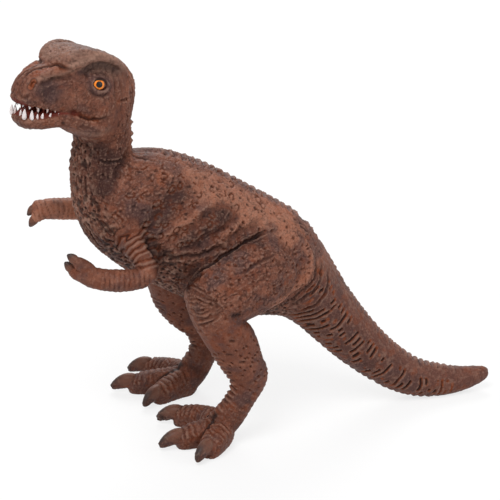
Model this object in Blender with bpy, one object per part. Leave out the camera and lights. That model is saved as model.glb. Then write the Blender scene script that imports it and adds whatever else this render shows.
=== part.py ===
"""Standing toy dinosaur, moulded in eight keyed pieces.

The head looks toward -X, the tail runs toward +X and the animal's left side
faces -Y. The figure stands on the plane Z = 0 on two feet and its tail. Every
limb is a loft of oval rings. The trunk is hollowed where a limb seats, so a
limb and its pocket always come from the same rings and one clearance.
"""

import math
from dataclasses import dataclass, replace

import bmesh
import bpy
from mathutils import Matrix, Vector

MM = 0.001

# Overall body
BODY_LENGTH = 154 * MM
BREAST_RISE = 65 * MM
TRUNK_DEPTH = 45 * MM
TRUNK_WIDTH = 37 * MM
NECK_DEPTH = 20 * MM
NECK_WIDTH = 17.6 * MM
TAIL_DEPTH = 21.6 * MM
TAIL_WIDTH = 20 * MM

# Legs
LEG_SWING = 22 * MM
THIGH_DEPTH = 30 * MM
THIGH_WIDTH = 21 * MM
SHANK_DEPTH = 20.6 * MM
SHANK_WIDTH = 16.6 * MM
ANKLE_DEPTH = 12.6 * MM
ANKLE_WIDTH = 9.6 * MM
TRACK_WIDTH = 41 * MM
RIGHT_STRIDE = 4 * MM
RIGHT_SIDESTEP = 8.5 * MM

# Place of the middle plane and the body's middle in the figure's frame
PLACE_AHEAD = 1.4 * MM
PLACE_ASIDE = -7.2 * MM

# Feet
TOE_LENGTH = 19 * MM
TOE_WIDTH = 9.4 * MM
TOE_HEIGHT = 10.4 * MM
TOE_CLAW_LENGTH = 6.2 * MM
TOE_CLAW_WIDTH = 5.4 * MM

# Arms
UPPER_ARM_WIDTH = 9.6 * MM
FOREARM_WIDTH = 7.2 * MM
FINGER_WIDTH = 4.8 * MM
FINGER_CLAW_WIDTH = 2.8 * MM
ARM_SPREAD = 40 * MM

# Head
SKULL_LENGTH = 44 * MM
SKULL_HEIGHT = 26 * MM
SKULL_WIDTH = 21 * MM
BROW_WIDTH = 4.0 * MM
EYE_WIDTH = 4.4 * MM
NOSTRIL_WIDTH = 3 * MM
FOSSA_WIDTH = 9 * MM
JAW_WIDTH = 15.6 * MM
JAW_DEPTH = 7.6 * MM
TOOTH_LENGTH = 4.8 * MM
TOOTH_WIDTH = 2.6 * MM
HEAD_PITCH = math.radians(20)
HEAD_TURN = math.radians(21)
HEAD_ROLL = math.radians(2)

# Joints between the moulded pieces
CLEARANCE = 0.3 * MM
OVERRUN = 6 * MM
PEG_WIDTH = 8 * MM
PEG_LENGTH = 5 * MM
SMALL_PEG_WIDTH = 5 * MM
SMALL_PEG_LENGTH = 4 * MM

BODY_SEGMENTS = 12
LEG_SEGMENTS = 10
SMALL_SEGMENTS = 8
FINE_SEGMENTS = 6
PEG_SEGMENTS = 12
BALL_SEGMENTS = 10
BALL_RINGS = 6
TOE_STEPS = 8


@dataclass(frozen=True)
class Ring:
    """One oval outline of a loft, with its own reach above and below its centre.

    A power of 2 gives a half ellipse, and a higher power a squarer half.
    """

    centre: Vector
    side: Vector
    up: Vector
    half_width: float
    top: float
    bottom: float
    top_power: float = 2.0
    bottom_power: float = 2.0


# Tables of rings, from the head end of each form to the other. A body row
# holds the place along the body, the height of its underside, its depth and
# width as shares of the sizes named above, and how far it leans from upright.
neck_shares = (
    (-0.367, 1.832, 0.84, 0.90, 70),
    (-0.366, 1.710, 1.00, 0.98, 80),
    (-0.375, 1.535, 1.09, 1.04, 78),
    (-0.376, 1.384, 1.23, 1.14, 56),
    (-0.370, 1.222, 1.52, 1.42, 37),
)
trunk_shares = (
    (-0.339, 1.106, 0.83, 0.84, 32),
    (-0.293, 0.998, 0.95, 0.95, 27),
    (-0.235, 0.900, 1.02, 0.99, 27),
    (-0.179, 0.826, 1.02, 1.00, 27),
    (-0.071, 0.678, 1.00, 0.98, 27),
    (-0.018, 0.627, 0.96, 0.94, 27),
    (0.034, 0.610, 0.87, 0.84, 25),
    (0.086, 0.600, 0.67, 0.68, 26),
)
tail_shares = (
    (0.137, 0.506, 1.00, 1.00, 42),
    (0.188, 0.378, 0.89, 0.88, 48),
    (0.240, 0.258, 0.79, 0.77, 51),
    (0.296, 0.142, 0.71, 0.69, 47),
    (0.359, 0.028, 0.65, 0.62, 30),
    (0.418, -0.006, 0.57, 0.54, 7),
    (0.468, -0.006, 0.48, 0.46, 0),
    (0.516, 0.022, 0.36, 0.35, -5),
    (0.549, 0.055, 0.25, 0.25, -6),
    (0.561, 0.082, 0.11, 0.11, 0),
)

# A leg row holds how far it stands from the hip, its height, its distance
# from the middle plane, its depth and width, its lean and how much of the
# right leg's stride it takes.
thigh_shares = (
    (0.20, 1.000, 0.62, 0.60, 0.62, -56, 0.0),
    (0.00, 0.904, 0.72, 0.98, 0.96, -40, 0.0),
    (-0.44, 0.843, 0.84, 0.92, 1.00, -39, 0.5),
    (-0.82, 0.790, 0.92, 0.86, 0.94, -36, 1.1),
    (-1.01, 0.746, 0.95, 0.77, 0.86, -57, 1.2),
)
shank_shares = (
    (-0.92, 0.696, 0.97, 1.08, 1.08, -72, 1.2),
    (-0.79, 0.617, 0.99, 1.00, 1.00, -86, 1.5),
    (-0.62, 0.500, 1.00, 0.86, 0.83, -89, 2.0),
    (-0.465, 0.387, 1.00, 0.70, 0.68, -91, 1.8),
)
ankle_shares = (
    (-0.37, 0.331, 1.00, 1.02, 1.00, -92, 1.0),
    (-0.43, 0.283, 0.99, 0.90, 0.94, -84, 0.4),
    (-0.55, 0.221, 0.97, 0.80, 0.94, -78, 0.0),
    (-0.68, 0.160, 0.94, 0.88, 1.04, -66, 0.0),
    (-0.82, 0.095, 0.90, 0.92, 1.12, -66, 0.0),
    (-0.95, 0.025, 0.88, 0.66, 0.98, -90, 0.0),
    (-0.95, -0.045, 0.88, 0.52, 0.80, -90, 0.0),
)
leg_rise_share = 1.077
hip_place_share = -0.016

# A toe row holds the place along the toe, its height and its width.
toe_shares = (
    (-0.15, 0.92, 0.90),
    (0.15, 0.98, 1.00),
    (0.50, 0.84, 0.90),
    (0.85, 0.76, 0.92),
    (1.02, 0.46, 0.54),
)
toe_sole_share = 1.24
# How far a toe leaves the foot from its middle, as a share of the toe width,
# its heading and its bend on the way to the claw, in degrees away from the
# body, and its length as a share of the toe length.
left_toe_shares = (
    ("inner", -0.45, -76, 52, 1.05),
    ("middle", 0.00, 4, 0, 0.88),
    ("outer", 0.15, 60, -18, 0.76),
)
right_toe_shares = (
    ("inner", 0.00, -20, -14, 0.88),
    ("middle", 0.10, 10, 8, 1.17),
    ("outer", 0.32, 80, -52, 1.14),
)
# A claw row holds the place along the claw, its height above the ground as a
# share of the toe height, and its thickness.
claw_shares = (
    (0.00, 0.42, 0.90),
    (0.32, 0.42, 1.00),
    (0.62, 0.36, 0.92),
    (0.88, 0.26, 0.70),
    (1.00, 0.20, 0.38),
)
claw_width_share = 0.84
claw_root_share = 0.14

# An arm row holds a place as shares of the body length, the breast rise and
# half the arm spread, and a width as a share of the named width.
left_upper_arm_shares = (
    (-0.330, 1.230, 0.42, 0.80),
    (-0.322, 1.175, 0.66, 1.00),
    (-0.305, 1.090, 0.90, 1.04),
)
left_forearm_shares = (
    (-0.297, 1.001, 1.02, 1.18),
    (-0.345, 0.987, 1.03, 1.10),
    (-0.410, 1.004, 0.98, 1.02),
    (-0.442, 1.040, 0.96, 0.96),
    (-0.457, 1.072, 0.94, 0.66),
)
left_finger_shares = (
    ((-0.418, 1.042, 1.02), (-0.447, 1.098, 1.02), (-0.467, 1.136, 1.00)),
    ((-0.434, 1.012, 0.88), (-0.459, 1.042, 0.88), (-0.472, 1.078, 0.88)),
)
right_upper_arm_shares = (
    (-0.330, 1.290, 0.42, 0.80),
    (-0.330, 1.250, 0.66, 1.00),
    (-0.342, 1.210, 0.86, 1.00),
)
right_forearm_shares = (
    (-0.372, 1.200, 0.90, 1.10),
    (-0.420, 1.207, 0.88, 1.06),
    (-0.466, 1.222, 0.86, 1.02),
    (-0.490, 1.222, 0.84, 0.96),
    (-0.502, 1.208, 0.83, 0.66),
)
right_finger_shares = (
    ((-0.480, 1.240, 0.89), (-0.496, 1.240, 0.90), (-0.507, 1.218, 0.90)),
    ((-0.482, 1.216, 0.76), (-0.500, 1.204, 0.76), (-0.509, 1.174, 0.76)),
)

# Skull rows, from the snout back: place ahead of the eyes as a share of the
# skull length, top and bottom as shares of the skull height from the eyes,
# and width. Jaw rows hold the place, the bottom, the depth and the width.
skull_shares = (
    (0.512, -0.28, -0.50, 0.28),
    (0.484, -0.20, -0.58, 0.50),
    (0.420, -0.10, -0.62, 0.61),
    (0.330, -0.03, -0.63, 0.66),
    (0.230, 0.09, -0.61, 0.78),
    (0.130, 0.22, -0.59, 0.92),
    (0.000, 0.28, -0.64, 1.00),
    (-0.140, 0.28, -0.86, 1.06),
    (-0.280, 0.25, -0.88, 1.06),
    (-0.400, 0.14, -0.84, 0.94),
    (-0.465, 0.00, -0.70, 0.60),
)
jaw_shares = (
    (0.468, -0.77, 0.32, 0.30),
    (0.428, -0.84, 0.58, 0.60),
    (0.335, -0.87, 0.78, 0.80),
    (0.210, -0.80, 0.84, 0.94),
    (0.090, -0.72, 0.90, 1.12),
    (-0.030, -0.78, 1.00, 1.38),
    (-0.140, -0.84, 1.24, 1.50),
    (-0.220, -0.80, 0.94, 1.42),
)
palate_shares = (
    (0.464, -0.46, -0.80, 0.34),
    (0.420, -0.47, -0.82, 0.51),
    (0.330, -0.48, -0.82, 0.56),
    (0.230, -0.49, -0.80, 0.66),
    (0.150, -0.50, -0.78, 0.72),
    (0.095, -0.53, -0.74, 0.54),
)
# A solid middle closes the mouth between the two sides' teeth.
core_shares = (
    (0.435, -0.36, -0.70, 0.11),
    (0.385, -0.34, -0.76, 0.14),
    (0.140, -0.34, -0.76, 0.14),
    (0.030, -0.38, -0.70, 0.12),
)
# The skull roof is a broad plate between the brows that drops to the snout.
roof_shares = (
    (0.320, 0.03, -0.25, 0.50),
    (0.265, 0.15, -0.20, 0.74),
    (0.190, 0.31, -0.10, 0.88),
    (0.060, 0.32, -0.05, 0.90),
    (-0.120, 0.31, -0.05, 0.90),
    (-0.250, 0.28, -0.10, 0.84),
    (-0.350, 0.19, -0.20, 0.66),
)
# Brow rows: place, height and distance from the middle plane, and thickness.
brow_shares = (
    (0.285, 0.03, 0.62, 0.56),
    (0.222, 0.18, 0.76, 0.90),
    (0.120, 0.26, 0.88, 1.00),
    (-0.040, 0.25, 0.93, 0.92),
    (-0.195, 0.20, 0.88, 0.80),
    (-0.340, 0.04, 0.66, 0.50),
)
# The nasal ridges run from the nostrils to the brows.
nasal_shares = (
    (0.455, -0.29, 0.28, 0.60),
    (0.395, -0.18, 0.42, 0.80),
    (0.325, -0.10, 0.48, 0.80),
    (0.230, 0.03, 0.60, 0.90),
)
# How square each form is above and below its middle.
skull_powers = (2.6, 5.0)
jaw_powers = (5.0, 2.4)
palate_powers = (6.0, 2.0)
core_powers = (2.0, 2.0)
roof_powers = (3.4, 2.0)
skull_seat_share = (-0.27, -0.31)
eye_share = (-0.040, 0.876, -0.095)
orbit_share = (-0.035, 1.15, -0.080)
orbit_form_share = (1.65, 1.2, 1.35)
nostril_share = (0.450, 0.58, -0.270)
nostril_form_share = (1.0, 1.0, 0.8)
fossa_share = (0.270, 0.92, -0.270)
fossa_form_share = (1.0, 0.3, 0.5)

# Teeth: place along the jaw as a share of the skull length and relative size.
upper_tooth_shares = (
    (0.412, 0.88), (0.358, 1.00), (0.307, 0.95), (0.254, 0.82), (0.206, 0.68), (0.162, 0.54),
)
lower_tooth_shares = (
    (0.394, 0.90), (0.336, 1.00), (0.280, 0.84), (0.230, 0.68), (0.184, 0.54),
)
# How far out the teeth stand, and how deep the lower ones, in their jaw's ring.
upper_gum_share = 0.62
lower_gum_share = (0.45, 0.90)
lower_tooth_share = 0.6
tooth_sunk_share = 0.25
tooth_tip_share = 0.24

peg_flat_share = 0.55
peg_root_share = 0.5
finger_taper_shares = (0.95, 1.0, 0.72)
finger_claw_shares = ((-0.9, 1.0), (0.0, 1.0), (0.8, 0.5))


def clear_scene():
    """Remove every object so that the script can be run again."""
    for item in list(bpy.data.objects):
        bpy.data.objects.remove(item, do_unlink=True)


def make_material(name, colour, roughness):
    """Return a plain coloured plastic."""
    material = bpy.data.materials.new(name)
    material.use_nodes = True
    shader = material.node_tree.nodes["Principled BSDF"]
    shader.inputs["Base Color"].default_value = (*colour, 1.0)
    shader.inputs["Roughness"].default_value = roughness
    shader.inputs["Metallic"].default_value = 0.0
    return material


def new_object(name, mesh):
    """Link a mesh into the scene as a named object."""
    item = bpy.data.objects.new(name, mesh)
    bpy.context.scene.collection.objects.link(item)
    return item


def finish_mesh(name, bm):
    """Turn a bmesh into a mesh whose faces point out."""
    bmesh.ops.recalc_face_normals(bm, faces=bm.faces)
    mesh = bpy.data.meshes.new(name)
    bm.to_mesh(mesh)
    bm.free()
    mesh.shade_smooth()
    return mesh


def add_outline(bm, ring, segments):
    """Add one ring's closed outline and return its edges."""
    made = bmesh.ops.create_circle(bm, segments=segments, radius=1.0)["verts"]
    for vert in made:
        across, upward = vert.co.x, vert.co.y
        power = ring.top_power if upward > 0 else ring.bottom_power
        square = (abs(across) ** power + abs(upward) ** power) ** (-1 / power)
        reach = ring.top if upward > 0 else ring.bottom
        vert.co = (ring.centre + ring.side * (across * square * ring.half_width)
                   + ring.up * (upward * square * reach))
    edges = {edge for vert in made for edge in vert.link_edges}
    return list(edges)


def loft(name, rings, segments, levels=1):
    """Skin the rings, close both ends and round the result by subdivision.

    Subdivision draws every outline in, so the outlines start that much fuller.
    """
    fullness = 3.0 / (2.0 + math.cos(2.0 * math.pi / segments)) if levels else 1.0
    bm = bmesh.new()
    outlines = [add_outline(bm, scaled(ring, fullness), segments) for ring in rings]
    for near, far in zip(outlines, outlines[1:]):
        bmesh.ops.bridge_loops(bm, edges=near + far)
    for end in (outlines[0], outlines[-1]):
        bmesh.ops.contextual_create(bm, geom=end)
    mesh = finish_mesh(name, bm)
    item = new_object(name, mesh)
    if levels:
        modifier = item.modifiers.new("Rounding", "SUBSURF")
        modifier.levels = levels
        modifier.render_levels = levels
    return item


def scaled(ring, factor):
    """Return a ring whose reaches are all multiplied by a factor."""
    return replace(ring, half_width=ring.half_width * factor,
                   top=ring.top * factor, bottom=ring.bottom * factor)


def grown(rings, gap):
    """Return rings that leave a gap all round and past both ends."""
    wide = [replace(ring, half_width=ring.half_width + gap,
                    top=ring.top + gap, bottom=ring.bottom + gap) for ring in rings]
    start = (rings[0].centre - rings[1].centre).normalized() * gap
    end = (rings[-1].centre - rings[-2].centre).normalized() * gap
    wide[0] = replace(wide[0], centre=wide[0].centre + start)
    wide[-1] = replace(wide[-1], centre=wide[-1].centre + end)
    return wide


def combine(target, tool, operation):
    """Add or cut a tool, which is left hidden as a guide."""
    modifier = target.modifiers.new(tool.name, "BOOLEAN")
    modifier.operation = operation
    modifier.solver = "EXACT"
    modifier.object = tool
    tool.hide_render = True
    tool.display_type = "WIRE"


def unite(target, *tools):
    """Fuse tools into a piece."""
    for tool in tools:
        combine(target, tool, "UNION")


def cut(target, *tools):
    """Cut tools out of a piece."""
    for tool in tools:
        combine(target, tool, "DIFFERENCE")


def block(name, centre, facing, size):
    """Make a large cube whose face passes through a point, square to a direction."""
    bm = bmesh.new()
    turn = facing.to_track_quat("Z", "Y").to_matrix().to_4x4()
    place = Matrix.Translation(centre + facing.normalized() * (size / 2)) @ turn
    bmesh.ops.create_cube(bm, size=size, matrix=place)
    return new_object(name, finish_mesh(name, bm))


def peg(name, root, direction, width, length, gap=0.0):
    """Make a peg with one flat side, which keys a piece against turning."""
    turn = direction.to_track_quat("Z", "Y").to_matrix().to_4x4()
    place = Matrix.Translation(root) @ turn
    bm = bmesh.new()
    bmesh.ops.create_circle(bm, segments=PEG_SEGMENTS, radius=width / 2 + gap, cap_ends=True)
    flat = peg_flat_share * width / 2 + gap
    everything = bm.verts[:] + bm.edges[:] + bm.faces[:]
    bmesh.ops.bisect_plane(bm, geom=everything, plane_co=Vector((0, flat, 0)),
                           plane_no=Vector((0, 1, 0)), clear_outer=True)
    made = bmesh.ops.extrude_face_region(bm, geom=bm.faces[:])["geom"]
    lifted = [item for item in made if isinstance(item, bmesh.types.BMVert)]
    bmesh.ops.translate(bm, verts=lifted, vec=Vector((0, 0, length + gap)))
    bmesh.ops.transform(bm, matrix=place, verts=bm.verts)
    return new_object(name, finish_mesh(name, bm))


def spine_rings(rows, depth, width):
    """Turn body rows into rings that hang over their undersides."""
    rings = []
    for along, underside, deep, wide, lean in rows:
        lean = math.radians(lean)
        up = Vector((math.sin(lean), 0.0, math.cos(lean)))
        reach = deep * depth / 2
        height = underside * BREAST_RISE + reach * math.cos(lean)
        centre = Vector((along * BODY_LENGTH, 0.0, height))
        rings.append(Ring(centre, Vector((0, 1, 0)), up, wide * width / 2, reach, reach))
    return rings


def body_rings():
    """Rings of the neck, trunk and tail, which share one skin."""
    neck = spine_rings(neck_shares, NECK_DEPTH, NECK_WIDTH)
    trunk = spine_rings(trunk_shares, TRUNK_DEPTH, TRUNK_WIDTH)
    tail = spine_rings(tail_shares, TAIL_DEPTH, TAIL_WIDTH)
    return neck, trunk, tail


def limb_rings(rows, depth, width, side, stride, sidestep):
    """Turn leg rows into rings on one side; a sidestep grows toward the ground."""
    rings = []
    for swing, height, out, deep, wide, lean, pace in rows:
        lean = math.radians(lean)
        up = Vector((math.sin(lean), 0.0, math.cos(lean)))
        spread = math.sqrt(1.0 - height) * sidestep
        centre = Vector((hip_place_share * BODY_LENGTH + swing * LEG_SWING - pace * stride,
                         side * (out * TRACK_WIDTH / 2 + spread),
                         height * leg_rise_share * BREAST_RISE))
        reach = deep * depth / 2
        rings.append(Ring(centre, Vector((0, 1, 0)), up, wide * width / 2, reach, reach))
    return rings


def leg_rings(side, stride=0.0, sidestep=0.0):
    """Rings of one whole leg, from the hip to the sole."""
    return (limb_rings(thigh_shares, THIGH_DEPTH, THIGH_WIDTH, side, stride, sidestep)
            + limb_rings(shank_shares, SHANK_DEPTH, SHANK_WIDTH, side, stride, sidestep)
            + limb_rings(ankle_shares, ANKLE_DEPTH, ANKLE_WIDTH, side, stride, sidestep))


def heading(side, degrees):
    """Level direction, turned away from the body from straight ahead."""
    angle = math.radians(degrees)
    return Vector((-math.cos(angle), side * math.sin(angle), 0.0))


def toe_path(root, side, way, bend, reach):
    """Place on a toe that leaves the foot one way and bends as it goes."""
    place = root.copy()
    for step in range(TOE_STEPS):
        angle = way + bend * (step + 0.5) / TOE_STEPS
        place += heading(side, angle) * (reach / TOE_STEPS)
    return place


def toe(name, root, side, way, bend, length):
    """Make one toe with its claw; the sole is cut flat later."""
    rings = []
    for along, tall, wide in toe_shares:
        centre = toe_path(root, side, way, bend * along, length * along)
        ahead = heading(side, way + bend * along)
        across = Vector((-ahead.y, ahead.x, 0.0))
        top = tall * TOE_HEIGHT
        centre.z = top / 2
        rings.append(Ring(centre, across, Vector((0, 0, 1)), wide * TOE_WIDTH / 2,
                          top / 2, toe_sole_share * top / 2))
    body = loft(name, rings, SMALL_SEGMENTS)
    ahead = heading(side, way + bend)
    across = Vector((-ahead.y, ahead.x, 0.0))
    overlap = claw_root_share * TOE_LENGTH
    start = toe_path(root, side, way, bend, length) - ahead * overlap
    claws = []
    for along, tall, thick in claw_shares:
        centre = start + ahead * (along * (TOE_CLAW_LENGTH + overlap))
        centre.z = tall * TOE_HEIGHT
        reach = thick * TOE_CLAW_WIDTH / 2
        claws.append(Ring(centre, across, Vector((0, 0, 1)), claw_width_share * reach, reach, reach))
    return body, loft(name + "_claw", claws, FINE_SEGMENTS, levels=0)


def make_leg(name, side, rings, toes, ground, material):
    """Build one leg and the hollow that its thigh and shank need in the trunk."""
    leg = loft(name, rings, LEG_SEGMENTS)
    root = rings[-3].centre.copy()
    root.z = 0.0
    for label, aside, way, bend, length in toes:
        start = root + Vector((0, side * aside * TOE_WIDTH, 0))
        unite(leg, *toe(f"{name}_{label}_toe", start, side, way, bend, length * TOE_LENGTH))
    cut(leg, ground)
    inward = Vector((0, -side, 0))
    buried = peg_root_share * rings[1].half_width
    seat = rings[1].centre + inward * buried
    length = buried + PEG_LENGTH
    unite(leg, peg(name + "_peg", seat, inward, PEG_WIDTH, length))
    leg.data.materials.append(material)
    seated = rings[:len(thigh_shares) + len(shank_shares) - 1]
    hollow = loft(name + "_hollow", grown(seated, CLEARANCE), LEG_SEGMENTS)
    socket = peg(name + "_socket", seat, inward, PEG_WIDTH, length, CLEARANCE)
    return leg, (hollow, socket)


def arm_point(row, side):
    """Place of an arm row in the figure's frame."""
    return Vector((row[0] * BODY_LENGTH, side * row[2] * ARM_SPREAD / 2, row[1] * BREAST_RISE))


def path_rings(points, widths):
    """Round rings square to a path through points."""
    rings = []
    for index, (point, width) in enumerate(zip(points, widths)):
        before = points[max(index - 1, 0)]
        after = points[min(index + 1, len(points) - 1)]
        along = (after - before).normalized()
        side = along.cross(Vector((0, 1, 0)))
        side = side.normalized().cross(along).normalized()
        up = side.cross(along).normalized()
        rings.append(Ring(point, side, up, width / 2, width / 2, width / 2))
    return rings


def make_arm(name, side, upper_rows, forearm_rows, finger_rows, material):
    """Build one arm with two clawed fingers, and its hollow in the trunk."""
    rows = upper_rows + forearm_rows
    widths = [row[3] * UPPER_ARM_WIDTH for row in upper_rows]
    widths += [row[3] * FOREARM_WIDTH for row in forearm_rows]
    rings = path_rings([arm_point(row, side) for row in rows], widths)
    arm = loft(name, rings, SMALL_SEGMENTS)
    for number, finger in enumerate(finger_rows, 1):
        points = [arm_point(row, side) for row in finger]
        label = f"{name}_finger_{number}"
        widths = [taper * FINGER_WIDTH for taper in finger_taper_shares]
        unite(arm, loft(label, path_rings(points, widths), FINE_SEGMENTS))
        way = (points[2] - points[1]).normalized()
        claw_points = [points[2] + way * (along * FINGER_CLAW_WIDTH)
                       for along, _ in finger_claw_shares]
        widths = [wide * FINGER_CLAW_WIDTH for _, wide in finger_claw_shares]
        unite(arm, loft(label + "_claw", path_rings(claw_points, widths), FINE_SEGMENTS,
                        levels=0))
    seat = rings[0].centre
    inward = Vector((0, -side, 0))
    length = peg_root_share * rings[0].half_width + SMALL_PEG_LENGTH
    unite(arm, peg(name + "_peg", seat, inward, SMALL_PEG_WIDTH, length))
    arm.data.materials.append(material)
    hollow = loft(name + "_hollow", grown(rings, CLEARANCE), SMALL_SEGMENTS)
    socket = peg(name + "_socket", seat, inward, SMALL_PEG_WIDTH, length, CLEARANCE)
    return arm, (hollow, socket)


def head_frame(seat):
    """Matrix from head axes (ahead, right, up) at the eyes to the figure."""
    ahead = Vector((-math.cos(HEAD_TURN) * math.cos(HEAD_PITCH),
                    -math.sin(HEAD_TURN) * math.cos(HEAD_PITCH), math.sin(HEAD_PITCH)))
    right = Vector((-math.sin(HEAD_TURN), math.cos(HEAD_TURN), 0.0))
    right = Matrix.Rotation(HEAD_ROLL, 3, ahead) @ right
    up = ahead.cross(right)
    up = up if up.z > 0 else -up
    turn = Matrix((ahead, right, up)).transposed()
    back, down = skull_seat_share
    origin = seat - turn @ Vector((back * SKULL_LENGTH, 0.0, down * SKULL_HEIGHT))
    return origin, turn


def between(rows, ahead, column):
    """Read a column of a table at a place between its rows."""
    for near, far in zip(rows, rows[1:]):
        if near[0] >= ahead >= far[0]:
            part = (near[0] - ahead) / (near[0] - far[0])
            return near[column] + part * (far[column] - near[column])
    return rows[0][column]


class Head:
    """Places and forms given in the head's own axes."""

    def __init__(self, seat):
        self.origin, self.turn = head_frame(seat)

    def at(self, ahead, out, up):
        """Point from shares of the skull's length, half width and height."""
        local = Vector((ahead * SKULL_LENGTH, out * SKULL_WIDTH / 2, up * SKULL_HEIGHT))
        return self.origin + self.turn @ local

    def way(self, ahead, out, up):
        """Direction in the figure from one in the head."""
        return (self.turn @ Vector((ahead, out, up))).normalized()

    def oval(self, ahead, top, bottom, half_width, powers):
        """A ring between two heights, given as shares of the skull."""
        middle = (top + bottom) / 2
        reach = (top - bottom) / 2 * SKULL_HEIGHT
        return Ring(self.at(ahead, 0, middle), self.way(0, 1, 0), self.way(0, 0, 1),
                    half_width, reach, reach, *powers)

    def skull_rings(self, rows, powers):
        """Rings from rows of a top, a bottom and a width."""
        return [self.oval(ahead, top, bottom, wide * SKULL_WIDTH / 2, powers)
                for ahead, top, bottom, wide in rows]

    def jaw_rings(self):
        """Rings of the lower jaw, from rows of a bottom, a depth and a width."""
        rings = []
        for ahead, bottom, deep, wide in jaw_shares:
            top = bottom + deep * JAW_DEPTH / SKULL_HEIGHT
            rings.append(self.oval(ahead, top, bottom, wide * JAW_WIDTH / 2, jaw_powers))
        return rings

    def ridge(self, name, rows, side):
        """A raised ridge along one side of the skull."""
        points = [self.at(ahead, side * out, up) for ahead, up, out, _ in rows]
        widths = [row[3] * BROW_WIDTH for row in rows]
        return loft(name, path_rings(points, widths), FINE_SEGMENTS)

    def ball(self, name, place, side, width, stretch=(1.0, 1.0, 1.0)):
        """A ball or stretched ball on one side, in the head's axes."""
        ahead, out, up = place
        bm = bmesh.new()
        bmesh.ops.create_uvsphere(bm, u_segments=BALL_SEGMENTS, v_segments=BALL_RINGS,
                                  radius=width / 2)
        bmesh.ops.scale(bm, vec=Vector(stretch), verts=bm.verts)
        bmesh.ops.transform(bm, matrix=self.turn.to_4x4(), verts=bm.verts)
        bmesh.ops.translate(bm, vec=self.at(ahead, side * out, up), verts=bm.verts)
        return new_object(name, finish_mesh(name, bm))

    def teeth(self, name, roots, lean):
        """A row of teeth, each a cone from inside the gum to its tip."""
        bm = bmesh.new()
        turn = lean.to_track_quat("Z", "Y").to_matrix().to_4x4()
        sunk = tooth_sunk_share * TOOTH_LENGTH
        for root, size in roots:
            length = size * TOOTH_LENGTH
            place = Matrix.Translation(root + lean * ((length - sunk) / 2)) @ turn
            bmesh.ops.create_cone(bm, cap_ends=True, segments=FINE_SEGMENTS,
                                  radius1=size * TOOTH_WIDTH / 2,
                                  radius2=tooth_tip_share * TOOTH_WIDTH / 2,
                                  depth=length + sunk, matrix=place)
        return new_object(name, finish_mesh(name, bm))


def make_head(head, skin_rings, seam, materials):
    """Build the skull and neck in one piece, with eyes, nostrils and upper teeth."""
    skull = loft("head", head.skull_rings(skull_shares, skull_powers), BODY_SEGMENTS)
    for side, label in ((-1, "left"), (1, "right")):
        unite(skull, head.ridge(label + "_brow", brow_shares, side))
        unite(skull, head.ridge(label + "_nasal_ridge", nasal_shares, side))
    unite(skull, loft("skull_roof", head.skull_rings(roof_shares, roof_powers), SMALL_SEGMENTS))
    cut(skull, loft("palate", head.skull_rings(palate_shares, palate_powers), SMALL_SEGMENTS))
    unite(skull, loft("mouth_core", head.skull_rings(core_shares, core_powers),
                      SMALL_SEGMENTS, levels=0))
    for side, label in ((-1, "left"), (1, "right")):
        cut(skull, head.ball(label + "_orbit", orbit_share, side, EYE_WIDTH, orbit_form_share))
        unite(skull, head.ball(label + "_eye", eye_share, side, EYE_WIDTH))
        cut(skull, head.ball(label + "_fossa", fossa_share, side, FOSSA_WIDTH,
                             fossa_form_share))
        cut(skull, head.ball(label + "_nostril", nostril_share, side, NOSTRIL_WIDTH,
                             nostril_form_share))
        roots = []
        for place, size in upper_tooth_shares:
            half = upper_gum_share * between(skull_shares, place, 3)
            roots.append((head.at(place, side * half, between(palate_shares, place, 1)), size))
        unite(skull, head.teeth(label + "_upper_teeth", roots, head.way(0, 0, -1)))
    neck = loft("neck_skin", skin_rings, BODY_SEGMENTS)
    cut(neck, block("neck_end", seam.centre + seam.normal * (CLEARANCE / 2), -seam.normal,
                    2 * BODY_LENGTH))
    unite(skull, neck, seam.peg("neck_peg", -1))
    skull.data.materials.append(materials["head"])
    return skull


def make_jaw(head, material):
    """Build the lower jaw with its teeth, and its hollow in the head."""
    rings = head.jaw_rings()
    jaw = loft("lower_jaw", rings, LEG_SEGMENTS)
    for side, label in ((-1, "left"), (1, "right")):
        roots = []
        for place, size in lower_tooth_shares:
            half = lower_gum_share[0] * between(jaw_shares, place, 3) * JAW_WIDTH / SKULL_WIDTH
            deep = between(jaw_shares, place, 2) * JAW_DEPTH / SKULL_HEIGHT
            height = between(jaw_shares, place, 1) + lower_gum_share[1] * deep
            roots.append((head.at(place, side * half, height), lower_tooth_share * size))
        unite(jaw, head.teeth(label + "_lower_teeth", roots, head.way(0, 0, 1)))
    jaw.data.materials.append(material)
    return jaw, loft("jaw_hollow", grown(rings, CLEARANCE), LEG_SEGMENTS)


@dataclass(frozen=True)
class Seam:
    """A flat joint across the body, with its normal toward the head."""

    centre: Vector
    normal: Vector

    @classmethod
    def through(cls, ring):
        """The seam in the plane of a ring."""
        return cls(ring.centre, ring.up.cross(ring.side).normalized())

    def peg(self, name, toward, gap=0.0):
        """A keyed peg that crosses the seam, toward the head (1) or the tail (-1)."""
        way = self.normal * toward
        return peg(name, self.centre - way * OVERRUN, way, PEG_WIDTH, OVERRUN + PEG_LENGTH, gap)


def linear(red, green, blue):
    """Linear colour from display values of 0 to 255."""
    return tuple(((value / 255 + 0.055) / 1.055) ** 2.4 for value in (red, green, blue))


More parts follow.
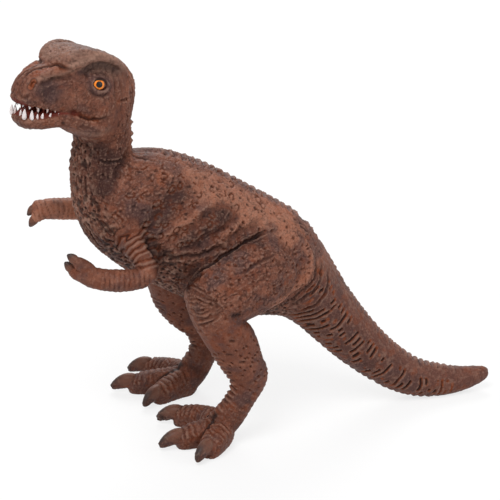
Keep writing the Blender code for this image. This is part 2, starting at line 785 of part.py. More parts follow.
def main():
    """Build the eight pieces."""
    clear_scene()
    colours = {
        "torso": (110, 72, 59), "head": (112, 80, 68), "lower_jaw": (115, 84, 71),
        "tail": (104, 74, 64), "left_arm": (114, 80, 68), "right_arm": (118, 78, 63),
        "left_leg": (104, 73, 62), "right_leg": (98, 66, 54),
    }
    materials = {name: make_material(name + "_vinyl", linear(*colour), 0.55)
                 for name, colour in colours.items()}
    neck, trunk, tail_rings = body_rings()
    skin_rings = neck + trunk + tail_rings
    neck_seam = Seam.through(neck[-1])
    tail_seam = Seam.through(trunk[-1])
    half_gap = CLEARANCE / 2
    reach = 2 * BODY_LENGTH

    torso = loft("torso", skin_rings, BODY_SEGMENTS)
    torso.data.materials.append(materials["torso"])
    cut(torso, block("front_end", neck_seam.centre - neck_seam.normal * half_gap,
                     neck_seam.normal, reach))
    cut(torso, block("rear_end", tail_seam.centre + tail_seam.normal * half_gap,
                     -tail_seam.normal, reach))
    cut(torso, neck_seam.peg("neck_socket", -1, CLEARANCE))
    cut(torso, tail_seam.peg("tail_socket", 1, CLEARANCE))

    tail = loft("tail", skin_rings, BODY_SEGMENTS)
    tail.data.materials.append(materials["tail"])
    cut(tail, block("tail_root", tail_seam.centre - tail_seam.normal * half_gap,
                    tail_seam.normal, reach))
    unite(tail, tail_seam.peg("tail_peg", 1))
    ground = block("ground", Vector((0, 0, 0)), Vector((0, 0, -1)), reach)
    cut(tail, ground)

    head = Head(neck[0].centre)
    skull = make_head(head, skin_rings, neck_seam, materials)
    jaw, jaw_hollow = make_jaw(head, materials["lower_jaw"])
    cut(skull, jaw_hollow)

    legs = (("left_leg", -1, leg_rings(-1), left_toe_shares),
            ("right_leg", 1, leg_rings(1, RIGHT_STRIDE, RIGHT_SIDESTEP), right_toe_shares))
    for name, side, rings, toes in legs:
        _, hollows = make_leg(name, side, rings, toes, ground, materials[name])
        cut(torso, *hollows)
    arms = (("left_arm", -1, left_upper_arm_shares, left_forearm_shares, left_finger_shares),
            ("right_arm", 1, right_upper_arm_shares, right_forearm_shares,
             right_finger_shares))
    for name, side, upper_rows, forearm_rows, finger_rows in arms:
        _, hollows = make_arm(name, side, upper_rows, forearm_rows, finger_rows,
                              materials[name])
        cut(torso, *hollows)

    place = Matrix.Translation((PLACE_AHEAD, PLACE_ASIDE, 0.0))
    for item in bpy.data.objects:
        item.data.transform(place)


if __name__ == "__main__":
    main()
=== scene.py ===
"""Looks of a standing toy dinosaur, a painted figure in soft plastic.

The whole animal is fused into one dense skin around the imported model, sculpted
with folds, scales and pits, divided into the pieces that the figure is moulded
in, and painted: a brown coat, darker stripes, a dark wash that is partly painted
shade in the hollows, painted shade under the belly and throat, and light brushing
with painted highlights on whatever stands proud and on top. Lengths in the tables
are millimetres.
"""

import logging
import math
from collections.abc import Callable
from dataclasses import dataclass, field
from enum import Enum

import bmesh
import bpy
import numpy as np
from mathutils import Matrix, Vector
from mathutils.kdtree import KDTree


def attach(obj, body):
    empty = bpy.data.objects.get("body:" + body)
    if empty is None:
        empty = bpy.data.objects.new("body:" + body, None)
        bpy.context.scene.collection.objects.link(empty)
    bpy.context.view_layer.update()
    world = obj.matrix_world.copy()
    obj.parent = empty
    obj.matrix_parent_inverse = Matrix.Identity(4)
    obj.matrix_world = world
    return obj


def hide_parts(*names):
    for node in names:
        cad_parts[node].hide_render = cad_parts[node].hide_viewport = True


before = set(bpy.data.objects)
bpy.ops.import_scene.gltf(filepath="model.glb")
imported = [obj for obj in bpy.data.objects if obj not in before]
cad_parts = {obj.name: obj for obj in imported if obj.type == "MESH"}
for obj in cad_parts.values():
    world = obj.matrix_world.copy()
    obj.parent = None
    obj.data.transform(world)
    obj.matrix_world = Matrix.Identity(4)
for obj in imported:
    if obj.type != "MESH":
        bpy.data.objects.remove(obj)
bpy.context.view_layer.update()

MM = 0.001
MIDDLE_ASIDE = -7.2 * MM
TRACE = 0.004
DRAPE_STEP = 1.5 * MM
WANDER_SEEDS = (301, 302, 303)
# The fixed numbers with which the noise scrambles its cells.
SEED_PRIME = 2654435761
CELL_PRIMES = (73856093, 19349663, 83492791)
MIXING = ((15, 2246822519), (13, 3266489917))
WORD = 0xFFFFFFFF
FRACTION = 0xFFFFFF
LOG = logging.getLogger("dinosaur")

Point = tuple[float, float, float]
Path = tuple[Point, ...]
Socket = bpy.types.NodeSocket


class Side(Enum):
    """The animal's own left, toward -Y, and its right."""

    LEFT = -1
    RIGHT = 1


class Edge(Enum):
    """How a stroke falls away from its middle line."""

    ROUND = 2.0
    CRISP = 1.0


class Zone(Enum):
    """The paints, painted shade and painted highlights stored on the skin's points while it is sculpted.
    """

    TONE = "tone"
    # A dark wash in creases and pits, and painted shade in hollows and under the brow.
    WASH = "wash"
    # Light dry brushing on what stands proud, partly a painted highlight.
    RUB = "rub"
    COOL = "cool"
    WARM = "warm"
    MOUTH = "mouth"
    GRAIN = "grain"


def read(source: bpy.types.bpy_prop_collection, name: str, width: int,
         kind: type = np.float32) -> np.ndarray:
    """Read one property of every element of a mesh.

    Args:
        source: The mesh's vertices, edges or another collection.
        name: The property to read.
        width: How many numbers it holds.
        kind: The type of those numbers.

    Returns:
        An array with a row for each element.
    """
    values = np.zeros(len(source) * width, kind)
    source.foreach_get(name, values)
    return values.reshape(-1, width)


def mark(mesh: bpy.types.Mesh, name: str, values: np.ndarray) -> None:
    """Store a number on every point of a mesh for its paint to read."""
    layer = mesh.attributes.new(name, "FLOAT", "POINT")
    layer.data.foreach_set("value", values.astype(np.float32))


def fade(value: np.ndarray, start: float | np.ndarray, end: float | np.ndarray) -> np.ndarray:
    """Rise smoothly from 0 at start to 1 at end, or fall where end is lower.

    Args:
        value: Where to read the curve.
        start: The value at which it is 0.
        end: The value at which it is 1.

    Returns:
        The curve's height at each value.
    """
    part = np.clip((value - start) / (end - start), 0.0, 1.0)
    return part * part * (3.0 - 2.0 * part)


def bell(value: np.ndarray, middle: float, width: float) -> np.ndarray:
    """Rise to 1 at the middle and fall away softly on both sides of it."""
    return np.exp(-((value - middle) / width) ** 2)


def hashed(whole: np.ndarray, seed: int) -> np.ndarray:
    """Give each whole-numbered cell its own fixed value from 0 to 1.

    Args:
        whole: Whole numbers in the last axis's two or three columns.
        seed: Which of many such fields to read.

    Returns:
        One value for each cell.
    """
    mixed = seed * SEED_PRIME
    for column, prime in zip(whole.astype(np.int64).T, CELL_PRIMES):
        mixed = mixed ^ column * prime
    mixed = mixed & WORD
    for shift, prime in MIXING:
        mixed = (mixed ^ (mixed >> shift)) * prime & WORD
    return ((mixed ^ (mixed >> 16)) & FRACTION) / FRACTION


def noise(points: np.ndarray, size: float, seed: int, octaves: int = 1) -> np.ndarray:
    """Smooth noise from -1 to 1.

    Args:
        points: Where to read it, in two or three columns.
        size: The length of its largest bumps.
        seed: Which field to read.
        octaves: How many times finer bumps of half the size are added.

    Returns:
        One value for each point.
    """
    total = np.zeros(len(points))
    weight = 0.0
    for octave in range(octaves):
        scaled = points / size * 2.0 ** octave + 17.0 * octave
        base = np.floor(scaled)
        part = scaled - base
        part = part * part * (3.0 - 2.0 * part)
        value = np.zeros(len(points))
        for corner in np.ndindex((2,) * points.shape[1]):
            shares = np.where(np.array(corner) == 1, part, 1.0 - part).prod(axis=1)
            value += shares * hashed(base + corner, seed + octave)
        total += (2.0 * value - 1.0) * 0.5 ** octave
        weight += 0.5 ** octave
    return total / weight


def cells(points: np.ndarray, size: float, seed: int) -> tuple[np.ndarray, np.ndarray, np.ndarray]:
    """Pack the space with irregular cells, as scales lie on skin.

    Args:
        points: Where to read the cells, in two or three columns.
        size: The distance between their middles.
        seed: Which packing to read.

    Returns:
        How far each point is from its cell's middle and from its border, as
        shares of the size, and the cell's own value from 0 to 1.
    """
    scaled = points / size
    base = np.floor(scaled)
    nearest = np.full(len(points), 9.0)
    second = np.full(len(points), 9.0)
    own = np.zeros(len(points))
    columns = points.shape[1]
    for step in np.ndindex((3,) * columns):
        cell = base + (np.array(step) - 1)
        middle = np.stack([hashed(cell, seed + axis) for axis in range(columns)], axis=1)
        away = np.linalg.norm(cell + 0.15 + 0.7 * middle - scaled, axis=1)
        closer = away < nearest
        second = np.where(closer, nearest, np.minimum(second, away))
        own = np.where(closer, middle[:, 0], own)
        nearest = np.where(closer, away, nearest)
    return nearest, second - nearest, own


@dataclass(frozen=True)
class Unrest:
    """Even soft unrest, from -1 to 1."""

    size: float
    seed: int
    octaves: int = 2

    def __call__(self, points: np.ndarray) -> np.ndarray:
        """Read the unrest at each point."""
        return noise(points, self.size * MM, self.seed, self.octaves)


@dataclass(frozen=True)
class Pebbles:
    """Domed scales with narrow furrows between them, from 0 to 1."""

    size: float
    seed: int
    steepness: float = 5.0
    evenness: float = 0.6

    def __call__(self, points: np.ndarray) -> np.ndarray:
        """Read the scales' height at each point."""
        _, border, own = cells(points, self.size * MM, self.seed)
        dome = 1.0 - np.exp(-border * self.steepness)
        return dome * (self.evenness + (1.0 - self.evenness) * own)


@dataclass(frozen=True)
class Pits:
    """Small scattered pits, from 0 on open skin to 1 in the middle of a pit.

    The size is the distance between the places that may hold a pit, the amount is
    the share of them that do, and the stretch tells how much longer a pit is along
    each axis.
    """

    size: float
    amount: float
    seed: int
    stretch: tuple[float, ...] = (1.0, 1.0, 1.0)
    radius: float = 0.30
    ragged: float = 0.14
    ragged_size: float = 0.7

    def __call__(self, points: np.ndarray) -> np.ndarray:
        """Read the pits' depth at each point.

        Args:
            points: Where to read it.

        Returns:
            One depth for each point.
        """
        nearest, _, own = cells(points / np.array(self.stretch), self.size * MM, self.seed)
        unrest = noise(points, self.ragged_size * MM, self.seed + 40)
        return fade(nearest, self.radius + self.ragged * unrest, 0.08) * (own < self.amount)


@dataclass(frozen=True)
class Arcs:
    """Curved nicks left by the edges of large flat scales, from 0 to 1."""

    size: float
    amount: float
    seed: int
    radius: float = 0.22
    spread: float = 0.14
    width: float = 0.075

    def __call__(self, points: np.ndarray) -> np.ndarray:
        """Read the nicks' depth at each point."""
        size = self.size * MM
        nearest, _, own = cells(points, size, self.seed)
        line = bell(nearest - self.spread * own, self.radius, self.width)
        return line * (own < self.amount) * fade(noise(points, 0.5 * size, self.seed + 9), -0.08, 0.10)


@dataclass(frozen=True)
class Wriggles:
    """Fine winding furrows, from 0 on open skin to 1 in the middle of a furrow."""

    size: float
    seed: int
    half_width: float = 0.15

    def __call__(self, points: np.ndarray) -> np.ndarray:
        """Read the furrows' depth at each point."""
        return fade(np.abs(noise(points, self.size * MM, self.seed, 2)), self.half_width, 0.02)


@dataclass(frozen=True)
class Folds:
    """Long soft folds that run one way, from 0 in a furrow to 1 on a crest.

    The width goes from crest to crest, and the length is how far a fold runs before
    it fades into the next.
    """

    along: Point
    width: float
    length: float
    seed: int
    steepness: float = 1.6

    def __call__(self, points: np.ndarray) -> np.ndarray:
        """Read the folds' height at each point.

        Args:
            points: Where to read it.

        Returns:
            One height for each point.
        """
        way = np.array(Vector(self.along).normalized())
        reach = (points @ way)[:, None] * way
        bent = (points - reach) / (self.width * MM) + reach / (self.length * MM)
        return 1.0 - np.abs(noise(bent, 1.0, self.seed, 2)) * self.steepness


Pattern = Unrest | Pebbles | Pits | Arcs | Wriggles | Folds


def within(share: np.ndarray, points: np.ndarray, pattern: Pattern, level: float = 0.0) -> np.ndarray:
    """Read a pattern only where a part of the animal is.

    Args:
        share: How much of each point belongs to the part.
        points: Where to read the pattern.
        pattern: The pattern to read.
        level: The value of the pattern that counts as none.

    Returns:
        The pattern above its level, times the share.
    """
    result = np.zeros(len(share))
    inside = np.flatnonzero(share > TRACE)
    if len(inside):
        result[inside] = share[inside] * (pattern(points[inside]) - level)
    return result


@dataclass(frozen=True)
class Relief:
    """A pattern that stands out of the skin, or is pressed in, with the paint in it.

    The height is in millimetres and below 0 presses in. The level is the value of
    the pattern that leaves the skin where it is.
    """

    pattern: Pattern
    height: float
    level: float = 0.0
    paints: tuple[tuple[Zone, float], ...] = ()

    def lay(self, skin: "Skin", share: np.ndarray, points: np.ndarray) -> np.ndarray:
        """Leave the relief on a skin.

        Args:
            skin: The skin to mark.
            share: How much of each point belongs to the part that has the relief.
            points: Where to read the pattern.

        Returns:
            The pattern above its level, times the share.
        """
        found = within(share, points, self.pattern, self.level)
        skin.pending += self.height * MM * found
        for zone, amount in self.paints:
            skin.stain(zone, amount * found)
        return found


@dataclass(frozen=True)
class Cloud:
    """Soft patches of one paint, where a noise lies between two bounds."""

    zone: Zone
    amount: float
    size: float
    seed: int
    start: float
    end: float
    octaves: int = 2

    def lay(self, skin: "Skin", share: np.ndarray) -> None:
        """Stain a skin with the patches.

        Args:
            skin: The skin to stain.
            share: How much of each point belongs to the part that has them.
        """
        unrest = noise(skin.points, self.size * MM, self.seed, self.octaves)
        skin.stain(self.zone, self.amount * share * fade(unrest, self.start, self.end))


def along_path(points: np.ndarray, path: np.ndarray) -> tuple[np.ndarray, np.ndarray]:
    """Measure points against a path.

    Args:
        points: The points to measure.
        path: The path's own points in order.

    Returns:
        The distance from each point to the path, and how far along the path it lies.
    """
    if len(path) == 1:
        return np.linalg.norm(points - path[0], axis=1), np.zeros(len(points))
    nearest = np.full(len(points), np.inf)
    travel = np.zeros(len(points))
    start = 0.0
    for near, far in zip(path[:-1], path[1:]):
        leg = far - near
        length = float(np.linalg.norm(leg))
        if length == 0.0:
            continue
        part = np.clip((points - near) @ leg / length ** 2, 0.0, 1.0)
        away = np.linalg.norm(points - near - part[:, None] * leg, axis=1)
        closer = away < nearest
        nearest = np.where(closer, away, nearest)
        travel = np.where(closer, start + part * length, travel)
        start += length
    return nearest, travel


@dataclass(frozen=True)
class Stroke:
    """One pull of a modelling tool over the skin, with the colour that settles in it.

    A positive height raises the skin and a negative one presses it in. Its wash
    is how much dark wash and painted shade the stroke holds, and the tint how far
    it lightens or, below 0, darkens the coat around it; some tints are painted
    highlight and painted shade.
    """

    path: Path
    width: float
    height: float
    edge: Edge = Edge.ROUND
    lip: float = 0.0
    wash: float = 0.0
    tint: float = 0.0

    def press(self, skin: "Skin", points: np.ndarray, path: np.ndarray) -> None:
        """Leave the stroke's height, wash and tint on a skin.

        Args:
            skin: The skin to mark.
            points: Its points, slightly displaced so that no stroke is ruled.
            path: The stroke's path in the same frame as the points.
        """
        reach = 4.0 * self.width * MM
        low, high = path.min(axis=0) - reach, path.max(axis=0) + reach
        near = np.flatnonzero(((points > low) & (points < high)).all(axis=1))
        if not len(near):
            return
        away, travel = along_path(points[near], path)
        taper = 1.0
        if len(path) > 1:
            share = travel / np.linalg.norm(np.diff(path, axis=0), axis=1).sum()
            taper = np.clip(np.minimum(share, 1.0 - share) * 5.0 + 0.3, 0.0, 1.0)
        spread = away / (self.width * MM)
        middle = np.exp(-spread ** self.edge.value) * taper
        banks = bell(spread, 1.9, 0.8) * self.lip * taper
        skin.pending[near] += (self.height * middle + banks) * MM
        soft = bell(spread, 0.0, 1.25) * taper
        skin.zones[Zone.WASH][near] = np.maximum(skin.zones[Zone.WASH][near], self.wash * soft)
        skin.zones[Zone.TONE][near] += self.tint * soft


@dataclass(frozen=True)
class Axes:
    """A frame of its own for one part of the animal."""

    origin: Vector
    ahead: Vector
    right: Vector
    up: Vector

    def turned(self, way: Point, side: Side) -> Vector:
        """Turn a step in millimetres ahead, outward and up into the figure's frame."""
        ahead, out, up = way
        return (self.ahead * ahead + self.right * (out * side.value) + self.up * up) * MM

    def place(self, point: Point, side: Side) -> Vector:
        """Put a point given in millimetres ahead, outward and up into the figure."""
        return self.origin + self.turned(point, side)

    def local(self, points: np.ndarray) -> np.ndarray:
        """Read points in this frame, in millimetres."""
        turn = np.array([self.ahead, self.right, self.up])
        return (points - np.array(self.origin)) @ turn.T / MM


HEAD_AXES = Axes(Vector((-63.07, -9.95, 133.59)) * MM, Vector((-0.8773, -0.3368, 0.3420)),
                 Vector((-0.3693, 0.9287, -0.0328)), Vector((0.3066, 0.1551, 0.9391)))


def tube(path: list[Vector], radii: list[float], segments: int = 12,
         flat: float = 1.0) -> bmesh.types.BMesh:
    """Loft a closed tube along a path.

    Args:
        path: The middle line, in metres.
        radii: The radius at each of its points, in metres.
        segments: How many sides the tube has.
        flat: How thin it is one way, as a share of the other.

    Returns:
        The tube as a new bmesh.
    """
    bm = bmesh.new()
    outlines = []
    for index, (point, radius) in enumerate(zip(path, radii)):
        way = path[min(index + 1, len(path) - 1)] - path[max(index - 1, 0)]
        turn = way.to_track_quat("Z", "Y").to_matrix().to_4x4()
        matrix = (Matrix.Translation(point) @ turn
                  @ Matrix.Diagonal((radius, radius * flat, radius, 1.0)))
        made = bmesh.ops.create_circle(bm, segments=segments, radius=1.0, matrix=matrix)
        outlines.append(list({edge for vert in made["verts"] for edge in vert.link_edges}))
    for near, far in zip(outlines, outlines[1:]):
        bmesh.ops.bridge_loops(bm, edges=near + far)
    for end in (outlines[0], outlines[-1]):
        bmesh.ops.contextual_create(bm, geom=end)
    bmesh.ops.recalc_face_normals(bm, faces=bm.faces)
    return bm


def ball(axes: Axes, middle: Point, radii: Point, side: Side, fineness: int = 3) -> bmesh.types.BMesh:
    """A stretched ball in a part's own frame.

    Args:
        axes: The frame.
        middle: Its middle, in millimetres.
        radii: Its reach ahead, outward and up, in millimetres.
        side: The side of the animal.
        fineness: How often its faces are divided.

    Returns:
        The ball as a new bmesh.
    """
    bm = bmesh.new()
    bmesh.ops.create_icosphere(bm, subdivisions=fineness, radius=1.0)
    turn = Matrix((axes.ahead, axes.right, axes.up)).transposed().to_4x4()
    place = Matrix.Translation(axes.place(middle, side))
    bmesh.ops.transform(bm, verts=bm.verts,
                        matrix=place @ turn @ Matrix.Diagonal((*(Vector(radii) * MM), 1.0)))
    return bm


def new_object(name: str, data: bpy.types.ID) -> bpy.types.Object:
    """Link a mesh, lamp or camera into the scene as a named object."""
    item = bpy.data.objects.new(name, data)
    bpy.context.scene.collection.objects.link(item)
    return item


def finished(name: str, bm: bmesh.types.BMesh) -> bpy.types.Object:
    """Turn a bmesh into a smooth-shaded object and free it.

    Args:
        name: The object's name.
        bm: Its mesh, which is freed.

    Returns:
        The new object.
    """
    mesh = bpy.data.meshes.new(name)
    bm.to_mesh(mesh)
    bm.free()
    mesh.shade_smooth()
    return new_object(name, mesh)


class Armature(Enum):
    """The middle lines of the figure's forms, in millimetres."""

    SPINE = ((-55.1, -7.2, 122.0), (-55.0, -7.2, 112.9), (-56.3, -7.2, 102.0),
             (-56.5, -7.2, 96.8), (-50.8, -7.2, 87.7), (-43.7, -7.2, 83.9),
             (-34.8, -7.2, 78.9), (-26.2, -7.2, 74.1), (-9.5, -7.2, 64.1), (6.6, -7.2, 57.4),
             (14.6, -7.2, 52.5), (22.5, -7.2, 40.9), (30.4, -7.2, 31.0), (38.4, -7.2, 22.1),
             (47.0, -7.2, 14.5), (56.7, -7.2, 7.9), (65.8, -7.2, 5.7), (73.5, -7.2, 4.8),
             (80.9, -7.2, 5.3), (87.8, -7.2, 6.5))
    LEFT_LEG = ((-1.1, -22.0, 63.3), (-10.7, -24.4, 59.0), (-19.1, -26.1, 55.3),
                (-21.3, -27.1, 48.7), (-18.4, -27.5, 43.2), (-14.7, -27.7, 35.0),
                (-11.3, -27.7, 27.1), (-9.2, -27.7, 23.2), (-13.2, -27.1, 15.5),
                (-19.1, -25.6, 6.7), (-22.0, -25.2, 1.8))
    RIGHT_LEG = ((-1.1, 10.2, 63.3), (-12.7, 13.4, 59.0), (-23.5, 15.6, 55.3),
                 (-26.1, 17.4, 48.7), (-24.4, 18.4, 43.2), (-22.7, 19.3, 35.0),
                 (-18.5, 20.0, 27.1), (-13.2, 20.3, 23.2), (-13.2, 20.2, 15.5),
                 (-19.1, 19.3, 6.7), (-22.0, 19.2, 1.8))
    LEFT_ARM = ((-49.4, -15.6, 79.9), (-48.2, -20.4, 76.4), (-45.6, -25.2, 70.8),
                (-44.3, -27.6, 65.1), (-51.7, -27.8, 64.2), (-61.7, -26.8, 65.3),
                (-66.7, -26.4, 67.6), (-71.5, -26.0, 73.5))
    RIGHT_ARM = ((-49.4, 1.2, 83.8), (-49.4, 6.0, 81.2), (-51.3, 10.0, 78.6),
                 (-55.9, 10.8, 78.0), (-63.3, 10.4, 78.5), (-70.4, 10.0, 79.4),
                 (-77.5, 9.4, 77.0))

    def points(self) -> np.ndarray:
        """The line's points in metres."""
        return np.array(self.value) * MM


def mirrored(path: np.ndarray) -> np.ndarray:
    """The same path on the other side of the middle plane."""
    return np.stack([path[:, 0], 2.0 * MIDDLE_ASIDE - path[:, 1], path[:, 2]], axis=1)


def on_right_leg(path: np.ndarray) -> np.ndarray:
    """Carry a path from the left leg to the right one, which stands in its own pose.

    Args:
        path: A path on the left leg, in metres.

    Returns:
        The path on the right leg.
    """
    height = path[:, 2] / MM
    levels = (0.0, 19.8, 27.1, 35.0, 43.2, 55.3, 63.3)
    ahead = np.interp(height, levels, (0.0, -1.6, -7.2, -8.0, -6.0, -4.4, 0.0))
    aside = np.interp(height, levels, (8.4, 7.2, 6.7, 6.0, 5.3, 3.9, 2.6))
    return mirrored(path) + np.stack([ahead, aside, np.zeros(len(path))], axis=1) * MM


class Skin:
    """A dense closed surface that is sculpted by moving its points."""

    def __init__(self, mesh: bpy.types.Mesh, spacing: float) -> None:
        """Take over a mesh.

        Args:
            mesh: A closed mesh in the figure's frame.
            spacing: How far apart its points are, in metres.
        """
        self.mesh = mesh
        self.spacing = spacing
        self.points = read(mesh.vertices, "co", 3).astype(float)
        self.edges = read(mesh.edges, "vertices", 2, np.int32)
        self.degree = np.bincount(self.edges.ravel(), minlength=len(self.points))
        self.pending = np.zeros(len(self.points))
        self.tree: KDTree | None = None
        self.zones = {zone: np.zeros(len(self.points)) for zone in Zone}

    def normals(self) -> np.ndarray:
        """Write the points back and return every point's outward direction."""
        self.mesh.vertices.foreach_set("co", self.points.astype(np.float32).ravel())
        self.mesh.update()
        return read(self.mesh.vertex_normals, "vector", 3).astype(float)

    def averaged(self, values: np.ndarray) -> np.ndarray:
        """Average each point's neighbours.

        Args:
            values: A row for each point.

        Returns:
            The neighbours' mean for each point.
        """
        near, far = self.edges[:, 0], self.edges[:, 1]
        columns = []
        for column in values.reshape(len(self.points), -1).T:
            total = np.bincount(near, weights=column[far], minlength=len(self.points))
            total += np.bincount(far, weights=column[near], minlength=len(self.points))
            columns.append(total / self.degree)
        return np.stack(columns, axis=1).reshape(values.shape)

    def rounds(self, reach: float) -> int:
        """How many rounds of averaging spread a bump out over a reach, in metres."""
        return round((2.0 * reach / self.spacing) ** 2)

    def smooth(self, reach: float, weight: np.ndarray | float = 1.0) -> None:
        """Relax the surface.

        Args:
            reach: How far a bump spreads out, in metres.
            weight: How much of that each point takes.
        """
        share = np.broadcast_to(weight, len(self.points))
        moved = share > TRACE
        edges = self.edges[moved[self.edges].any(axis=1)]
        used, edges = np.unique(edges, return_inverse=True)
        near, far = edges.reshape(-1, 2).T
        points = self.points[used]
        slack = np.where(moved[used], 0.5 * share[used], 0.0)[:, None]
        for _ in range(self.rounds(reach)):
            total = [np.bincount(near, points[far, axis], len(used))
                     + np.bincount(far, points[near, axis], len(used)) for axis in range(3)]
            points += (np.stack(total, axis=1) / self.degree[used, None] - points) * slack
        self.points[used] = points

    def push(self, height: np.ndarray) -> None:
        """Move every point along its normal by its own height, in metres."""
        self.points += self.normals() * height[:, None]

    def loose(self, amount: float, size: float) -> np.ndarray:
        """The points moved about by soft noise, so that a pattern read there wanders.

        Args:
            amount: How far they move, in metres.
            size: The length of the noise's bumps, in metres.

        Returns:
            The moved points.
        """
        wander = np.stack([noise(self.points, size, seed, 2) for seed in WANDER_SEEDS], axis=1)
        normals = self.normals()
        wander = wander - (wander * normals).sum(axis=1)[:, None] * normals
        return self.points + wander * amount

    def draped(self, path: np.ndarray) -> np.ndarray:
        """Lay a path on the surface.

        Args:
            path: The path's points, in metres, near the surface.

        Returns:
            A finer path whose points are points of the skin.
        """
        if self.tree is None:
            picked = range(0, len(self.points), 2)
            self.tree = KDTree(len(picked))
            for index in picked:
                self.tree.insert(self.points[index], index)
            self.tree.balance()
        fine = [path[0]]
        for near, far in zip(path[:-1], path[1:]):
            steps = max(1, round(float(np.linalg.norm(far - near)) / DRAPE_STEP))
            fine.extend(near + (far - near) * (step + 1) / steps for step in range(steps))
        return np.array([self.tree.find(point)[0] for point in fine])

    def carve(self, strokes: tuple[Stroke, ...], places: Callable[[np.ndarray], list[np.ndarray]],
              points: np.ndarray) -> None:
        """Leave strokes, which are pushed in or out at the next settle.

        Args:
            strokes: The strokes to leave.
            places: Turns a path in millimetres into one or more in the figure.
            points: The skin's points, or slightly displaced ones.
        """
        for stroke in strokes:
            for path in places(np.array(stroke.path, float).reshape(-1, 3)):
                stroke.press(self, points, self.draped(path))

    def settle(self) -> None:
        """Push every point by the height that has been gathered for it."""
        self.push(self.pending)
        self.pending[:] = 0.0
        self.tree = None

    def stain(self, zone: Zone, amount: np.ndarray) -> None:
        """Lay more of one paint where there is less of it."""
        self.zones[zone] = np.maximum(self.zones[zone], amount)

    def lighten(self, amount: np.ndarray) -> None:
        """Lighten the coat by a share, or darken it where that is below 0."""
        self.zones[Zone.TONE] += amount

    def hollows(self, reach: float) -> np.ndarray:
        """How far each point lies under the surface relaxed by a reach, in metres.

        Args:
            reach: How far a bump spreads out as it relaxes, in metres.

        Returns:
            One depth for each point.
        """
        relaxed = self.points
        for _ in range(self.rounds(reach)):
            relaxed = relaxed + (self.averaged(relaxed) - relaxed) * 0.7
        return ((relaxed - self.points) * self.normals()).sum(axis=1)

    def cropped(self, kept: np.ndarray) -> "Skin":
        """Leave out the points that aren't kept.

        Args:
            kept: Whether each point stays.

        Returns:
            What is left of the skin.
        """
        bm = bmesh.new()
        bm.from_mesh(self.mesh)
        bmesh.ops.delete(bm, geom=[vert for vert in bm.verts if not kept[vert.index]],
                         context="VERTS")
        bm.to_mesh(self.mesh)
        bm.free()
        return Skin(self.mesh, self.spacing)


@dataclass
class Moulding:
    """Closed forms gathered into one mesh."""

    growth: float = 0.16 * MM
    bm: bmesh.types.BMesh = field(default_factory=bmesh.new)

    def add(self, form: bmesh.types.BMesh) -> None:
        """Add a closed form and free it.

        Args:
            form: The form, which is freed.
        """
        mesh = bpy.data.meshes.new("form")
        form.to_mesh(mesh)
        form.free()
        self.bm.from_mesh(mesh)
        bpy.data.meshes.remove(mesh)

    def add_node(self, node: str) -> None:
        """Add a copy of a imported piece, grown to close the gap to its neighbours.

        Args:
            node: The piece's name.
        """
        copy = bmesh.new()
        copy.from_mesh(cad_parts[node].data)
        bmesh.ops.remove_doubles(copy, verts=copy.verts, dist=0.002 * MM)
        copy.normal_update()
        for vert in copy.verts:
            vert.co += vert.normal * self.growth
        self.add(copy)

    def fuse(self, name: str, voxel: float) -> Skin:
        """Fuse everything added so far.

        Args:
            name: The name of the new mesh.
            voxel: How fine its faces are, in metres.

        Returns:
            One even skin over all the forms.
        """
        item = finished(name, self.bm)
        modifier = item.modifiers.new("Fuse", "REMESH")
        modifier.mode = "VOXEL"
        modifier.voxel_size = voxel
        graph = bpy.context.evaluated_depsgraph_get()
        mesh = bpy.data.meshes.new_from_object(item.evaluated_get(graph))
        bpy.data.objects.remove(item)
        return Skin(mesh, voxel)


def moulded(name: str, voxel: float, nodes: list[str]) -> Skin:
    """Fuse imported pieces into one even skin.

    Args:
        name: The name of the new mesh.
        voxel: How fine its faces are, in metres.
        nodes: The pieces' names.

    Returns:
        The skin over all of them.
    """
    mould = Moulding()
    for node in nodes:
        mould.add_node(node)
    return mould.fuse(name, voxel)


def linear(colour: Point) -> tuple[float, float, float]:
    """Turn display values of 0 to 255 into linear light."""
    return tuple(((value / 255.0 + 0.055) / 1.055) ** 2.4 for value in colour)


class Nodes:
    """A shader's node tree, filled a step at a time."""

    def __init__(self, tree: bpy.types.NodeTree) -> None:
        """Take over a tree."""
        self.tree = tree

    def add(self, kind: str) -> bpy.types.Node:
        """Add a node of one kind."""
        return self.tree.nodes.new("ShaderNode" + kind)

    def join(self, start: Socket, end: Socket) -> None:
        """Link two sockets."""
        self.tree.links.new(start, end)

    def math(self, operation: str, one: Socket, other: Socket | float = 0.0) -> Socket:
        """Work a value out of one socket and another one or a number.

        Args:
            operation: What to do with them.
            one: The first value's socket.
            other: The second value, where the operation takes one.

        Returns:
            The socket of the result.
        """
        node = self.add("Math")
        node.operation = operation
        self.join(one, node.inputs[0])
        if isinstance(other, float):
            node.inputs[1].default_value = other
        else:
            self.join(other, node.inputs[1])
        return node.outputs[0]

    def scaled(self, share: Socket, low: float, high: float) -> Socket:
        """Turn a share evenly into a value.

        Args:
            share: The socket of a share from 0 to 1.
            low: The value at 0.
            high: The value at 1.

        Returns:
            The socket of the value.
        """
        node = self.add("MapRange")
        node.inputs["To Min"].default_value = low
        node.inputs["To Max"].default_value = high
        self.join(share, node.inputs["Value"])
        return node.outputs["Result"]


